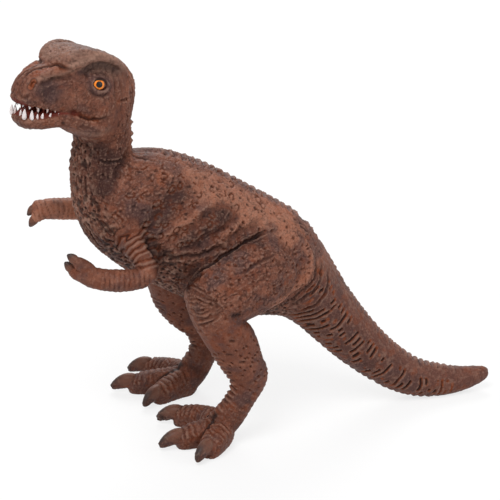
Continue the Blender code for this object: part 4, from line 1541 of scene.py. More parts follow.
@dataclass(frozen=True)
class Trunk:
    """The neck, the barrel and the tail, which share one spine."""

    # Where limbs and neck join: a path, the width that blends around it and how far.
    roots: tuple[tuple[Path, float, float], ...] = (
        (((-24.0, -25.0, 68.0), (-12.0, -25.0, 73.0), (-2.6, -22.2, 74.5), (6.0, -20.5, 73.5),
          (12.0, -19.0, 69.5), (15.3, -17.9, 64.9), (14.4, -19.7, 60.1), (11.5, -21.0, 55.3),
          (4.6, -23.9, 50.7)), 7.0, 1.7),
        (((-49.4, -14.6, 82.0), (-48.2, -18.4, 79.4), (-53.0, -17.0, 76.0)), 6.0, 1.5),
        (((-45.5, -7.2, 108.0), (-47.0, -13.0, 104.0), (-53.8, -18.1, 97.5)), 5.0, 1.5),
    )
    folds: tuple[Stroke, ...] = (
        Stroke(((-30.5, -20.1, 94.3), (-36.1, -23.2, 90.1), (-40.7, -24.4, 85.6),
                (-45.2, -24.1, 78.8)), 1.7, -0.55, Edge.ROUND, 0.3, 0.3),
        Stroke(((-18.2, -21.3, 86.1), (-24.3, -24.1, 82.9), (-29.8, -25.2, 80.2),
                (-37.1, -25.1, 76.0)), 1.3, -0.55, Edge.ROUND, 0.35, 0.4),
        Stroke(((-11.0, -20.7, 82.7), (-17.2, -23.9, 79.3), (-24.7, -25.4, 75.5),
                (-31.9, -25.3, 72.4)), 1.4, -0.6, Edge.ROUND, 0.4, 0.3),
        Stroke(((-3.1, -20.3, 78.6), (-10.0, -23.3, 76.6), (-17.6, -25.1, 73.9)),
               1.0, -0.4, Edge.ROUND, 0.3, 0.35),
        Stroke(((-39.6, -23.5, 70.7), (-34.6, -24.2, 69.6), (-27.8, -25.2, 70.5),
                (-21.6, -25.5, 72.0), (-15.1, -25.0, 72.9)), 0.8, -0.7, Edge.CRISP, 0.35, 0.8),
        Stroke(((-30.6, -24.6, 59.9), (-28.2, -26.3, 63.5), (-22.0, -27.2, 67.7),
                (-14.4, -26.4, 71.5), (-8.5, -24.6, 73.7), (-1.6, -21.8, 74.9)),
               0.45, -1.0, Edge.CRISP, 0.5, 1.0),
        Stroke(((-44.9, -24.2, 77.8), (-44.3, -26.4, 74.5), (-42.6, -27.6, 70.5)),
               1.1, -1.2, Edge.ROUND, 0.2, 1.0),
        Stroke(((-58.6, -16.0, 103.9), (-54.9, -16.3, 103.4), (-50.5, -15.0, 103.0)),
               0.45, -0.5, Edge.CRISP, 0.25, 0.8),
        Stroke(((-47.4, -12.2, 106.4), (-50.7, -15.4, 101.4), (-53.8, -18.1, 96.5)),
               1.2, -0.6, Edge.ROUND, 0.3, 0.4),
    )
    # Stripes and bands of paint, with painted highlights and painted shade among them.
    stripes_shade_and_highlights: tuple[Stroke, ...] = (
        Stroke(((-26.0, -19.0, 97.5), (-33.5, -22.1, 92.0), (-40.7, -24.4, 85.6),
                (-45.2, -24.1, 77.8)), 3.4, 0.0, wash=0.25, tint=-1.4),
        Stroke(((-12.0, -19.7, 85.7), (-21.2, -23.9, 80.8), (-27.7, -25.4, 76.5),
                (-33.9, -25.3, 73.1)), 3.1, 0.0, wash=0.25, tint=-1.4),
        # Lighter ridges between the stripes: painted highlight.
        Stroke(((-15.0, -19.5, 90.5), (-25.0, -22.7, 85.5), (-34.0, -24.6, 80.5),
                (-40.5, -25.2, 76.5)), 1.6, 0.15, tint=0.8),
        Stroke(((-4.0, -20.0, 81.0), (-13.0, -22.7, 78.8), (-22.0, -24.8, 75.6)),
               1.3, 0.15, tint=0.7),
        Stroke(((-30.6, -24.6, 60.9), (-26.2, -26.3, 66.0), (-17.0, -27.2, 70.5),
                (-8.4, -25.4, 74.0), (-1.5, -22.1, 75.5)), 1.9, 0.0, wash=0.35, tint=-1.0),
        Stroke(((-34.6, -23.4, 58.0), (-32.0, -25.2, 61.5), (-27.0, -26.4, 65.5)),
               2.8, -0.3, wash=0.7, tint=-0.8),
        # Lighter over the hip: painted highlight.
        Stroke(((6.0, -17.0, 76.0), (14.9, -14.5, 71.0), (21.0, -12.5, 61.0)), 4.5, 0.0, tint=1.3),
        # Painted shade behind and under the arm.
        Stroke(((-45.0, -25.0, 79.0), (-42.6, -26.6, 72.5), (-37.6, -25.6, 68.5)),
               2.6, 0.0, wash=0.65, tint=-1.0),
        Stroke(((-58.4, -15.2, 110.4), (-55.7, -16.4, 104.4), (-57.8, -17.1, 96.5),
                (-59.6, -16.5, 90.6)), 3.2, 0.0, wash=0.25, tint=-0.9),
        Stroke(((-49.4, -13.2, 107.4), (-52.7, -16.4, 101.4), (-56.8, -18.1, 94.5)),
               2.2, 0.0, wash=0.2, tint=-0.6),
        # The pale band along the back, partly painted highlight.
        Stroke(((-40.0, -18.0, 100.4), (-24.4, -19.2, 95.6), (-8.0, -18.2, 85.2),
                (8.4, -16.2, 75.2), (16.0, -15.2, 68.0)), 5.0, 0.0, tint=1.1),
    )
    tail_root: tuple[Stroke, ...] = (
        Stroke(((15.8, -17.2, 66.5), (15.6, -18.9, 60.1), (12.9, -20.4, 54.5), (5.6, -23.9, 51.2)),
               1.1, 0.55, tint=0.35),
        Stroke(((19.9, -16.7, 60.4), (18.6, -18.4, 53.9), (14.1, -19.5, 48.5), (7.5, -18.4, 45.8)),
               0.5, -0.35, Edge.CRISP, 0.25, 0.7),
        Stroke(((22.6, -15.9, 56.4), (21.6, -17.4, 50.4), (17.6, -18.0, 45.0), (11.5, -16.4, 42.8)),
               0.5, -0.35, Edge.CRISP, 0.25, 0.7),
        Stroke(((17.4, -17.7, 62.4), (16.6, -19.0, 56.9), (13.2, -20.2, 51.5), (6.5, -20.4, 48.0)),
               0.45, -0.3, Edge.CRISP, 0.2, 0.7),
    )
    light_band: Path = ((-24.4, -19.0, 94.0), (-12.0, -18.5, 87.5), (-3.0, -18.5, 82.0),
                        (5.0, -17.8, 76.5))
    scales: Relief = Relief(Pebbles(1.15, 10), 0.26, 0.6)
    flank_folds: Relief = Relief(Folds((-0.9, 0.0, -0.42), 2.6, 15.0, 7), 0.40, 0.6)
    neck_folds: Relief = Relief(Folds((0.15, 0.0, 1.0), 2.1, 12.0, 8), 0.45, 0.6)
    furrows: Relief = Relief(Wriggles(2.0, 9), -0.20)
    furrow_wash: Cloud = Cloud(Zone.WASH, 0.42, 6.0, 16, -0.35, 0.25)
    dots: Relief = Relief(Pits(1.9, 0.40, 11, (1.5, 1.0)), -0.40, paints=((Zone.WASH, 0.75),))
    nicks: Relief = Relief(Arcs(3.5, 0.75, 12), -0.50, paints=((Zone.WARM, 1.0), (Zone.WASH, 0.62)))
    holes: Relief = Relief(Pits(2.0, 0.80, 13, (1.3, 1.0)), -0.55, paints=((Zone.WASH, 1.0),))
    upright: Relief = Relief(Pits(1.7, 0.42, 27), -0.45, paints=((Zone.WASH, 0.85), (Zone.WARM, 0.70)))
    low_rub: Cloud = Cloud(Zone.RUB, 0.75, 1.2, 14, 0.0, 0.45)
    # Dark patches on the underside: a wash that is partly painted shade.
    low_wash_and_shade: Cloud = Cloud(Zone.WASH, 0.80, 1.5, 15, -0.05, -0.45)
    tail_folds: Relief = Relief(Folds((0.75, 0.0, -0.66), 1.4, 12.0, 19), 0.20)
    tail_rub: Cloud = Cloud(Zone.RUB, 0.30, 1.0, 23, 0.05, 0.55)
    cool_clouds: Cloud = Cloud(Zone.COOL, 0.75, 8.0, 21, 0.0, 0.42, 3)
    # Light specks on the back's band: painted highlight.
    band_highlight: Cloud = Cloud(Zone.RUB, 0.30, 1.2, 26, -0.2, 0.4)
    warm_clouds: Cloud = Cloud(Zone.WARM, 0.40, 3.0, 22, 0.10, 0.5, 3)
    scute: float = 2.7
    slit_gap: float = 2.2
    slit_depth: float = 0.68
    slit_bow: float = 0.22

    def sculpt(self, skin: Skin, place: Survey) -> None:
        """Shape the body: blend the limbs' roots, fold the flanks and lay the scales.

        Args:
            skin: The skin to sculpt.
            place: Where its points lie.
        """
        for path, width, reach in self.roots:
            skin.smooth(reach * MM, around(skin.points, path, width))
        skin.smooth(0.5 * MM, (1.0 - place.face) * 0.8)
        loose = skin.loose(0.9 * MM, 4.0 * MM)
        skin.carve(self.folds, both_sides, loose)
        skin.carve(self.stripes_shade_and_highlights, both_sides, skin.loose(2.4 * MM, 3.0 * MM))
        skin.carve(self.tail_root, both_sides, loose)
        skin.settle()
        self.scale(skin, place, skin.loose(0.5 * MM, 2.0 * MM))
        self.slit(skin, place)
        self.crown(skin, place)
        skin.settle()

    def scale(self, skin: Skin, place: Survey, loose: np.ndarray) -> None:
        """Lay the scales, wrinkles and pits of the neck, barrel and tail.

        Args:
            skin: The skin to scale.
            place: Where its points lie.
            loose: The points moved about, for the patterns to be read at.
        """
        trunk, neck, tail = place.trunk, place.neck, place.tail
        self.scales.lay(skin, trunk + neck + 0.6 * tail, loose)
        self.flank_folds.lay(skin, trunk * fade(place.above, 17.0, 9.0), loose)
        self.neck_folds.lay(skin, neck, loose)
        self.furrow_wash.lay(skin, self.furrows.lay(skin, trunk + neck + 0.3 * tail, loose))
        wrap = place.wrap + (loose - skin.points)[:, :2]
        self.dots.lay(skin, trunk + neck, wrap)
        self.nicks.lay(skin, trunk * fade(place.travel, 92.0, 78.0), wrap)
        low = trunk * fade(place.above, -3.0, -9.0) + neck * fade(place.above, -2.0, -7.0)
        holes = self.holes.lay(skin, low, wrap)
        self.upright.lay(skin, neck, skin.points * np.array([1.0, 1.0, 0.5]))
        self.low_rub.lay(skin, low * (1.0 - holes))
        # Underside darkened in patches, partly painted shade.
        self.low_wash_and_shade.lay(skin, low)

    def slit(self, skin: Skin, place: Survey) -> None:
        """Cut the rows of bowed slits along both sides of the tail.

        Args:
            skin: The skin to sculpt.
            place: Where its points lie.
        """
        height = np.interp(place.travel, *GIRTHS)
        level = place.above / height
        wander = 0.9 * noise(skin.points, 5.0 * MM, 17, 2)
        rows = (place.travel + self.slit_bow * level ** 2 * height + wander) / self.slit_gap
        row = np.floor(rows)
        dashes = noise(np.stack([row * 7.3, place.wrap[:, 1] / (2.6 * MM)], axis=1), 1.0, 18)
        open_side = place.tail * fade(place.travel, 196.0, 176.0)
        open_side = open_side * fade(level, -0.95, -0.7) * fade(level, 0.55, 0.30)
        reach = np.abs(rows - row - 0.5) * self.slit_gap
        slits = open_side * fade(reach, 0.74, 0.26) * fade(dashes, -0.18, 0.12)
        self.tail_folds.lay(skin, place.tail * fade(level, 0.3, 0.55), skin.points)
        skin.pending -= self.slit_depth * MM * slits
        skin.stain(Zone.WASH, 0.95 * fade(slits, 0.30, 0.90))
        skin.stain(Zone.WARM, fade(slits, 0.02, 0.30))
        self.tail_rub.lay(skin, place.tail)
        skin.stain(Zone.COOL, 0.40 * place.tail)

    def crown(self, skin: Skin, place: Survey) -> None:
        """Raise the row of scutes along the back and the bands under the tail and throat.

        Args:
            skin: The skin to sculpt.
            place: Where its points lie.
        """
        number = (place.travel + 0.5 * noise(skin.points, 5.0 * MM, 24)) / self.scute
        beat = 0.5 + 0.5 * np.cos(math.tau * number)
        width = 3.2 + 2.0 * hashed(np.stack([np.round(number), place.aside > 0.0], axis=1), 25)
        back = (place.above > 0.0) * fade(np.abs(place.aside), width, 0.35 * width)
        back = back * np.maximum.reduce([place.trunk, place.tail, place.neck])
        below = (place.above < 0.0) * fade(np.abs(place.aside), 4.5, 1.5)
        below = below * np.maximum(place.tail * fade(place.travel, 188.0, 178.0), place.neck)
        raised = back * fade(place.travel, 196.0, 180.0)
        skin.pending += (0.95 * raised + 0.55 * below) * (beat - 0.4) * MM
        skin.stain(Zone.COOL, 0.45 * back)
        skin.stain(Zone.WASH, 0.50 * raised * fade(beat, 0.3, 0.0))
        # Light brushing and painted highlight on the tops of the scutes.
        skin.stain(Zone.RUB, 0.35 * np.maximum(raised, below) * fade(beat, 0.7, 1.0))

    def paint(self, skin: Skin, place: Survey) -> None:
        """Vary the coat over the neck, barrel and tail, with painted highlight along the back and on top
        of the tail, and painted shade under the throat and the belly.

        Args:
            skin: The skin to sculpt.
            place: Where its points lie.
        """
        trunk, neck, tail = place.trunk, place.neck, place.tail
        from_middle = np.abs(place.aside)
        # A paler band along the back, partly painted highlight.
        band = around(skin.points, self.light_band, 9.0)
        self.cool_clouds.lay(skin, (trunk + tail) * (1.0 - 0.8 * band))
        self.warm_clouds.lay(skin, trunk + tail)
        self.band_highlight.lay(skin, band)
        skin.lighten(0.6 * band)
        # Painted highlight: the top of the tail lighter.
        skin.lighten(0.40 * tail * fade(place.above, 2.0, 7.0))
        lower_side = fade(np.abs(place.above + 1.0), 9.0, 3.0) * fade(place.travel, 180.0, 150.0)
        skin.lighten(-tail * (0.12 + 0.42 * lower_side))
        # Painted shade under the throat.
        throat = fade(place.head[:, 0], -16.0, -9.0) * fade(place.above, 2.0, -6.0)
        skin.lighten(-neck * (0.05 + 0.45 * throat))
        skin.lighten(0.7 * neck * fade(from_middle, 7.0, 3.0))
        chest = fade(from_middle, 8.0, 4.0) * (place.above < 0.0) * fade(place.travel, 75.0, 55.0)
        skin.lighten(0.35 * trunk * chest)
        # Painted shade: the underside of the barrel darker.
        skin.lighten(-0.45 * trunk * fade(place.above, -7.0, -15.0))
        skin.stain(Zone.GRAIN, trunk + 0.8 * neck + 0.55 * tail)
        skin.stain(Zone.GRAIN, 0.35 * place.face)


@dataclass(frozen=True)
class Leg:
    """One leg, with its knee folds, heel and three toes."""

    piece: Piece
    toes: tuple[Path, ...]
    creases: tuple[Stroke, ...] = (
        Stroke(((-13.8, -32.9, 64.8), (-9.6, -31.7, 66.8), (-4.9, -30.2, 68.1), (-0.3, -27.9, 68.7)),
               0.45, -0.45, Edge.CRISP, 0.2, 0.7),
        Stroke(((-18.5, -35.6, 51.4), (-14.6, -34.4, 50.2)), 0.9, -0.6, wash=0.85, tint=-0.6),
        Stroke(((-19.0, -36.2, 41.9), (-16.9, -35.6, 41.2)), 0.5, -0.5, wash=0.8),
        Stroke(((-15.0, -34.0, 33.4), (-12.9, -33.6, 33.0)), 0.45, -0.4, wash=0.7),
        Stroke(((-20.6, -35.6, 35.6), (-18.6, -35.8, 35.4)), 0.45, -0.4, wash=0.7),
    )
    muscles: tuple[Stroke, ...] = (
        Stroke(((-5.6, -32.5, 52.5), (4.6, -25.9, 52.9), (11.5, -21.0, 55.5), (14.6, -19.6, 60.3),
                (15.2, -17.9, 65.2), (11.5, -19.0, 69.8), (5.0, -21.0, 72.5)),
               1.5, 0.45, tint=0.9),
        Stroke(((-24.0, -34.5, 62.0), (-12.0, -33.0, 69.0)), 2.2, 0.25, tint=0.25),
        Stroke(((-13.5, -34.6, 45.0), (-10.0, -33.0, 36.0)), 1.8, 0.3, tint=0.15),
        Stroke(((-7.2, -28.5, 29.2), (-5.8, -28.2, 24.6)), 1.8, 0.5, tint=0.2),
    )
    scales: Relief = Relief(Pebbles(1.1, 33), 0.24, 0.6)
    thigh_folds: Relief = Relief(Folds((-0.9, 0.0, -0.43), 2.6, 15.0, 31), 0.42, 0.6)
    furrows: Relief = Relief(Wriggles(1.9, 32), -0.26)
    furrow_wash: Cloud = Cloud(Zone.WASH, 0.50, 6.0, 39, -0.4, 0.2)
    dots: Relief = Relief(Pits(1.9, 0.42, 34, (1.4, 1.0)), -0.40, paints=((Zone.WASH, 0.80),))
    dashes: Relief = Relief(Pits(1.8, 0.62, 35, (1.6, 0.85)), -0.50, paints=((Zone.WASH, 0.85),))
    clouds: tuple[Cloud, ...] = (
        Cloud(Zone.COOL, 0.70, 6.0, 37, 0.0, 0.42, 3),
        Cloud(Zone.WARM, 0.40, 3.0, 38, 0.1, 0.5, 3),
    )
    scute: float = 2.1
    fan: tuple[Path, Path] = (
        ((-30.8, -26.6, 61.0), (-28.0, -31.6, 60.2), (-24.5, -34.6, 57.6), (-22.3, -35.6, 54.8)),
        ((-28.4, -31.5, 46.4), (-26.0, -34.7, 48.2), (-23.6, -35.6, 50.4), (-21.4, -35.8, 52.4)))
    fan_folds: int = 10

    def places(self, path: np.ndarray) -> list[np.ndarray]:
        """Carry a path in millimetres on the left leg to this leg."""
        return [path * MM if self.piece is Piece.LEFT_LEG else on_right_leg(path * MM)]

    def knee_fan(self) -> tuple[Stroke, ...]:
        """The folds that run together behind the knee."""
        high, low = np.array(self.fan)
        strokes = []
        for number in range(self.fan_folds):
            path = high + (low - high) * (number + 0.3 * (number % 2)) / self.fan_folds
            strokes.append(Stroke(tuple(map(tuple, path)), 0.38, -0.45, Edge.CRISP, 0.25, 0.5))
        return (*strokes, Stroke(tuple(map(tuple, (high + low) / 2.0)), 4.5, 0.0, tint=0.45))

    def sculpt(self, skin: Skin, place: Survey) -> None:
        """Shape the leg, its creases and its scales.

        Args:
            skin: The skin to sculpt.
            place: Where its points lie.
        """
        share, travel = place.limbs[self.piece], place.travels[self.piece]
        loose = skin.loose(0.6 * MM, 3.0 * MM)
        for strokes in (self.muscles, self.creases, self.knee_fan()):
            skin.carve(strokes, self.places, loose)
        thigh = share * fade(travel, 32.0, 24.0)
        shank = share * fade(travel, 24.0, 32.0) * fade(travel, 62.0, 54.0)
        foot = share * fade(travel, 54.0, 62.0)
        self.thigh_folds.lay(skin, thigh, loose)
        self.scales.lay(skin, thigh + 0.4 * shank + 0.6 * foot, loose)
        self.furrow_wash.lay(skin, self.furrows.lay(skin, thigh + 0.5 * foot, loose))
        dots = self.dots.lay(skin, thigh, loose[:, ::2])
        slanted = np.stack([0.8 * loose[:, 0] - 0.6 * loose[:, 2],
                            0.6 * loose[:, 0] + 0.8 * loose[:, 2]], axis=1)
        below_knee = 0.4 + 0.6 * fade(travel, 34.0, 40.0)
        dashes = self.dashes.lay(skin, shank * below_knee + 0.4 * foot, slanted)
        skin.stain(Zone.WARM, 0.6 * fade(dots + dashes, 0.02, 0.3))
        skin.stain(Zone.GRAIN, thigh + 0.45 * shank + 0.6 * foot)
        self.band(skin, share, travel)
        self.mark_toes(skin)
        skin.settle()
        for cloud in self.clouds:
            cloud.lay(skin, share)
        skin.lighten(-0.05 * shank - 0.3 * foot)

    def band(self, skin: Skin, share: np.ndarray, travel: np.ndarray) -> None:
        """Raise the broad scutes down the front of the shin and around the ankle.

        Args:
            skin: The skin to sculpt.
            share: How much of each point belongs to the leg.
            travel: How far down the leg it lies, in millimetres.
        """
        number = (travel + 0.5 * noise(skin.points, 3.0 * MM, 36)) / self.scute
        bands = 0.5 + 0.5 * np.cos(math.tau * number)
        ankle = share * fade(travel, 50.0, 54.0) * fade(travel, 72.0, 66.0)
        shin = share * fade(travel, 36.0, 42.0) * fade(travel, 78.0, 74.0)
        shin = shin * fade(-skin.normals()[:, 0], 0.55, 0.90)
        skin.pending += (0.16 * ankle + 0.80 * shin) * (bands - 0.4) * MM
        skin.stain(Zone.WASH, 0.5 * shin * fade(bands, 0.3, 0.0))

    def mark_toes(self, skin: Skin) -> None:
        """Band the toes across and darken the clefts between them.

        Args:
            skin: The skin to sculpt.
        """
        low = fade(skin.points[:, 2], 13.5 * MM, 11.5 * MM)
        upward = fade(skin.normals()[:, 2], 0.05, 0.45)
        unrest = 0.7 * MM * noise(skin.points, 2.5 * MM, 40, 2)
        uneven = 0.55 + 0.45 * noise(skin.points, 4.0 * MM, 41)
        reaches = []
        for path in self.toes:
            line = np.array([(x, y, 5.0) for x, y in path]) * MM
            away, travel = along_path(skin.points, line)
            reaches.append(away)
            strength = fade(away, 7.0 * MM, 5.4 * MM) * low * upward * uneven
            bands = np.abs(np.sin(math.pi * (travel + unrest) / (self.scute * MM))) ** 0.6
            skin.pending += strength * 0.80 * (bands - 0.6) * MM
            skin.stain(Zone.WASH, 0.90 * strength * fade(bands, 0.55, 0.2))
            skin.stain(Zone.WARM, 0.6 * strength * fade(bands, 0.75, 0.4))
        first, second = np.sort(np.stack(reaches), axis=0)[:2]
        cleft = fade(second - first, 1.3 * MM, 0.2 * MM) * fade(first, 2.8 * MM, 4.2 * MM)
        cleft *= fade(first, 9.0 * MM, 7.0 * MM) * low
        skin.stain(Zone.WASH, 0.95 * cleft)
        skin.stain(Zone.WARM, 0.5 * cleft)


@dataclass(frozen=True)
class Arm:
    """One short arm, ringed below the elbow and wrinkled above it, its coat lightened by painted light.
    """

    piece: Piece
    # How much the coat is lightened: painted light, mostly on the right arm.
    painted_light: float
    elbow: float = 19.0
    ring: float = 1.7
    unrest: Relief = Relief(Unrest(1.2, 52), 0.14)
    clouds: tuple[Cloud, ...] = (
        Cloud(Zone.WARM, 0.30, 3.5, 53, 0.05, 0.5, 3),
        Cloud(Zone.COOL, 0.50, 4.0, 56, 0.0, 0.5, 3),
    )

    def sculpt(self, skin: Skin, place: Survey) -> None:
        """Wrinkle the arm and paint it.

        Args:
            skin: The skin to sculpt.
            place: Where its points lie.
        """
        share, travel = place.limbs[self.piece], place.travels[self.piece]
        loose = travel + 0.6 * noise(skin.points, 3.0 * MM, 51, 2)
        slanted = loose + 1.2 * noise(skin.points, 4.0 * MM, 55)
        rings = np.abs(np.cos(math.pi * loose / self.ring))
        slants = np.abs(np.cos(math.pi * slanted / (1.35 * self.ring)))
        lower = share * fade(travel, self.elbow - 2.0, self.elbow + 3.0) * fade(travel, 43.0, 38.0)
        upper = share * fade(travel, self.elbow + 1.0, self.elbow - 4.0) * fade(travel, 2.0, 5.0)
        skin.pending += (0.20 * lower * (rings - 0.7) + 0.8 * upper * (slants - 0.7)) * MM
        self.unrest.lay(skin, share, skin.points)
        skin.stain(Zone.GRAIN, 0.45 * share)
        skin.settle()
        broken = fade(noise(skin.points, 3.0 * MM, 54, 2), -0.35, 0.2)
        skin.stain(Zone.WASH, 0.85 * upper * fade(slants, 0.45, 0.15) * (0.4 + 0.6 * broken))
        skin.stain(Zone.WARM, 0.80 * upper * fade(slants, 0.65, 0.3))
        skin.stain(Zone.WASH, 0.60 * lower * fade(rings, 0.35, 0.1) * broken)
        for cloud in self.clouds:
            cloud.lay(skin, share)
        # Painted light: the arm's coat lightened.
        skin.lighten(self.painted_light * share)


LEFT_TOES: tuple[Path, ...] = (
    ((-19.1, -21.4), (-20.8, -16.8), (-23.6, -12.6), (-27.2, -9.2), (-31.5, -6.6)),
    ((-19.1, -25.6), (-27.4, -26.2), (-35.8, -26.8)),
    ((-19.1, -27.1), (-21.0, -30.1), (-23.2, -33.0), (-25.6, -35.7), (-28.2, -38.2)),
)
RIGHT_TOES: tuple[Path, ...] = (
    ((-19.1, 19.3), (-23.0, 17.8), (-26.8, 16.0), (-30.4, 14.0), (-34.0, 11.8)),
    ((-19.1, 20.3), (-24.6, 21.3), (-30.0, 22.6), (-35.3, 24.0), (-40.7, 25.6)),
    ((-19.1, 22.3), (-20.6, 27.5), (-23.3, 32.2), (-27.0, 36.2), (-31.4, 39.3)),
)


@dataclass
class Animal:
    """The fused animal: its sculpted skin, divided into the moulded pieces."""

    voxel: float = 0.38 * MM
    head_voxel: float = 0.30 * MM
    overlap: float = 8.0 * MM
    arm_top: float = 86.0 * MM
    face: Face = Face()
    trunk: Trunk = Trunk()
    legs: tuple[Leg, ...] = (Leg(Piece.LEFT_LEG, LEFT_TOES), Leg(Piece.RIGHT_LEG, RIGHT_TOES))
    # The right arm's coat lightened as painted light.
    arms: tuple[Arm, ...] = (Arm(Piece.LEFT_ARM, 0.05), Arm(Piece.RIGHT_ARM, 1.25))
    # How much dark wash and painted shade the hollows take.
    hollow_wash_and_shade: float = 0.65
    # How much light brushing and painted highlight the raised points take.
    ridge_brush_and_highlight: float = 0.45
    coat: Vinyl = Vinyl()

    def pieces(self, points: np.ndarray) -> np.ndarray:
        """Tell which moulded piece each point belongs to, by its place among the pieces.

        Args:
            points: The points to label.

        Returns:
            The piece's number for each point.
        """
        number = {piece: place for place, piece in enumerate(Piece)}
        label = np.full(len(points), number[Piece.TORSO])
        label[NECK_SEAM.beyond(points) > 0.0] = number[Piece.HEAD]
        label[TAIL_SEAM.beyond(points) > 0.0] = number[Piece.TAIL]
        for piece, limb in LIMBS.items():
            depth, _ = limb.depth(points)
            label[(depth > 0.0) & (label != number[Piece.TAIL])] = number[piece]
        return label

    def sculpt(self, skin: Skin, parts: tuple[Leg | Arm | Face, ...]) -> None:
        """Sculpt and paint a skin, coarse forms first.

        Args:
            skin: The skin.
            parts: The limbs or the face that it has.
        """
        place = survey(skin.points)
        self.trunk.sculpt(skin, place)
        for part in parts:
            part.sculpt(skin, place)
        self.trunk.paint(skin, place)
        hollow = skin.hollows(0.5 * MM) / MM
        # Hollows darker: a dark wash, partly painted shade.
        skin.stain(Zone.WASH, self.hollow_wash_and_shade * fade(hollow, 0.06, 0.28))
        # Raised points lighter: light brushing and painted highlight.
        skin.stain(Zone.RUB, self.ridge_brush_and_highlight * fade(hollow, -0.04, -0.20))
        for claws in CLAWS:
            claws.blend(skin)
        skin.points[:, 2] = np.maximum(skin.points[:, 2], 0.0)

    def divide(self, skin: Skin, wanted: list[Piece]) -> None:
        """Divide a skin into closed pieces and dress them.

        Args:
            skin: The sculpted skin.
            wanted: The pieces to take from it.
        """
        skin.normals()
        for zone, values in skin.zones.items():
            mark(skin.mesh, zone.value, values)
        label = self.pieces(skin.points)
        for piece in wanted:
            mine = label == list(Piece).index(piece)
            bm = bmesh.new()
            bm.from_mesh(skin.mesh)
            other = [face for face in bm.faces if not mine[face.verts[0].index]]
            bmesh.ops.delete(bm, geom=other, context="FACES")
            rims = [edge for edge in bm.edges if edge.is_boundary]
            caps = bmesh.ops.holes_fill(bm, edges=rims, sides=0)["faces"]
            for cap in caps:
                for edge in cap.edges:
                    edge.smooth = False
            bmesh.ops.triangulate(bm, faces=caps)
            item = finished(piece.value + "_skin", bm)
            dress(item, self.coat.material())
            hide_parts(piece.value)
            if piece is Piece.HEAD:
                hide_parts("lower_jaw")

    def build(self) -> None:
        """Make the whole skin: the body at one fineness, and the head at a finer one."""
        skin = moulded("figure", self.voxel, sorted(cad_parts))
        skin = skin.cropped((NECK_SEAM.beyond(skin.points) < self.overlap)
                            | (skin.points[:, 2] < self.arm_top))
        self.sculpt(skin, self.legs + self.arms)
        self.divide(skin, [piece for piece in Piece if piece is not Piece.HEAD])
        skin = moulded("front", self.head_voxel, ["head", "lower_jaw", "torso"])
        skin = skin.cropped(NECK_SEAM.beyond(skin.points) > -self.overlap)
        self.sculpt(skin, (self.face,))
        self.divide(skin, [Piece.HEAD])


def dress(item: bpy.types.Object, material: bpy.types.Material) -> None:
    """Paint a piece, fix it to the figure and report it.

    Args:
        item: The finished piece.
        material: Its paint.
    """
    item.data.materials.append(material)
    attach(item, "root")
    item.data.calc_loop_triangles()
    LOG.info("%s: %d triangles", item.name, len(item.data.loop_triangles))


def spike(root: Vector, tip: Vector, bow: Vector, radii: list[float], segments: int,
          flat: float = 1.0) -> bmesh.types.BMesh:
    """A bowed, tapered spike, such as a tooth or a claw.

    Args:
        root: Where its middle line starts.
        tip: Where it ends.
        bow: How far its middle stands off the straight line.
        radii: Its radius at even steps from root to tip, in metres.
        segments: How many sides it has.
        flat: How thin it is one way, as a share of the other.

    Returns:
        The spike as a new bmesh.
    """
    shares = [step / (len(radii) - 1) for step in range(len(radii))]
    path = [root.lerp(tip, share) + bow * 4.0 * share * (1.0 - share) for share in shares]
    return tube(path, radii, segments, flat)


@dataclass(frozen=True)
class Eye:
    """One painted eye in its orbit, in the head's axes."""

    side: Side
    middle: Point = (-1.75, 9.3, -2.5)
    radii: Point = (3.1, 2.36, 2.3)
    gaze: Point = (0.38, 0.92, 0.04)
    coat: Iris = Iris()

    def build(self) -> None:
        """Make the ball and store how far each point turns away from where it looks."""
        name = f"{self.side.name.lower()}_eye"
        item = finished(name, ball(HEAD_AXES, self.middle, self.radii, self.side, 5))
        look = np.array(HEAD_AXES.turned(self.gaze, self.side))
        off = read(item.data.vertices, "co", 3) - np.array(HEAD_AXES.place(self.middle, self.side))
        cosine = off @ look / np.linalg.norm(off, axis=1) / np.linalg.norm(look)
        mark(item.data, "gaze", np.degrees(np.arccos(np.clip(cosine, -1.0, 1.0))))
        dress(item, self.coat.material())


@dataclass(frozen=True)
class Teeth:
    """A row of pointed teeth on both sides of one jaw, from root to tip in the head's axes."""

    name: str
    slot: str
    teeth: tuple[tuple[Point, Point, float], ...]
    lean: Point
    sunk: float = 0.8
    profile: tuple[float, ...] = (0.8, 1.0, 0.96, 0.82, 0.64, 0.42, 0.12)
    stained: float = 0.8
    coat: Enamel = Enamel()

    def build(self) -> None:
        """Make every tooth as a curved spike that leaves the gum."""
        mould = Moulding()
        roots = []
        for root, tip, width in self.teeth:
            radii = [width * 0.5 * share * MM for share in self.profile]
            for side in Side:
                start, end = HEAD_AXES.place(root, side), HEAD_AXES.place(tip, side)
                deep = start + (start - end).normalized() * self.sunk * MM
                mould.add(spike(deep, end, HEAD_AXES.turned(self.lean, side), radii, 10))
                roots.append(np.array(start))
        item = finished(self.name, mould.bm)
        points = read(item.data.vertices, "co", 3)
        away = np.min([np.linalg.norm(points - root, axis=1) for root in roots], axis=0)
        mark(item.data, "root", self.stained * fade(away, 0.9 * MM, 0.2 * MM))
        dress(item, self.coat.material())


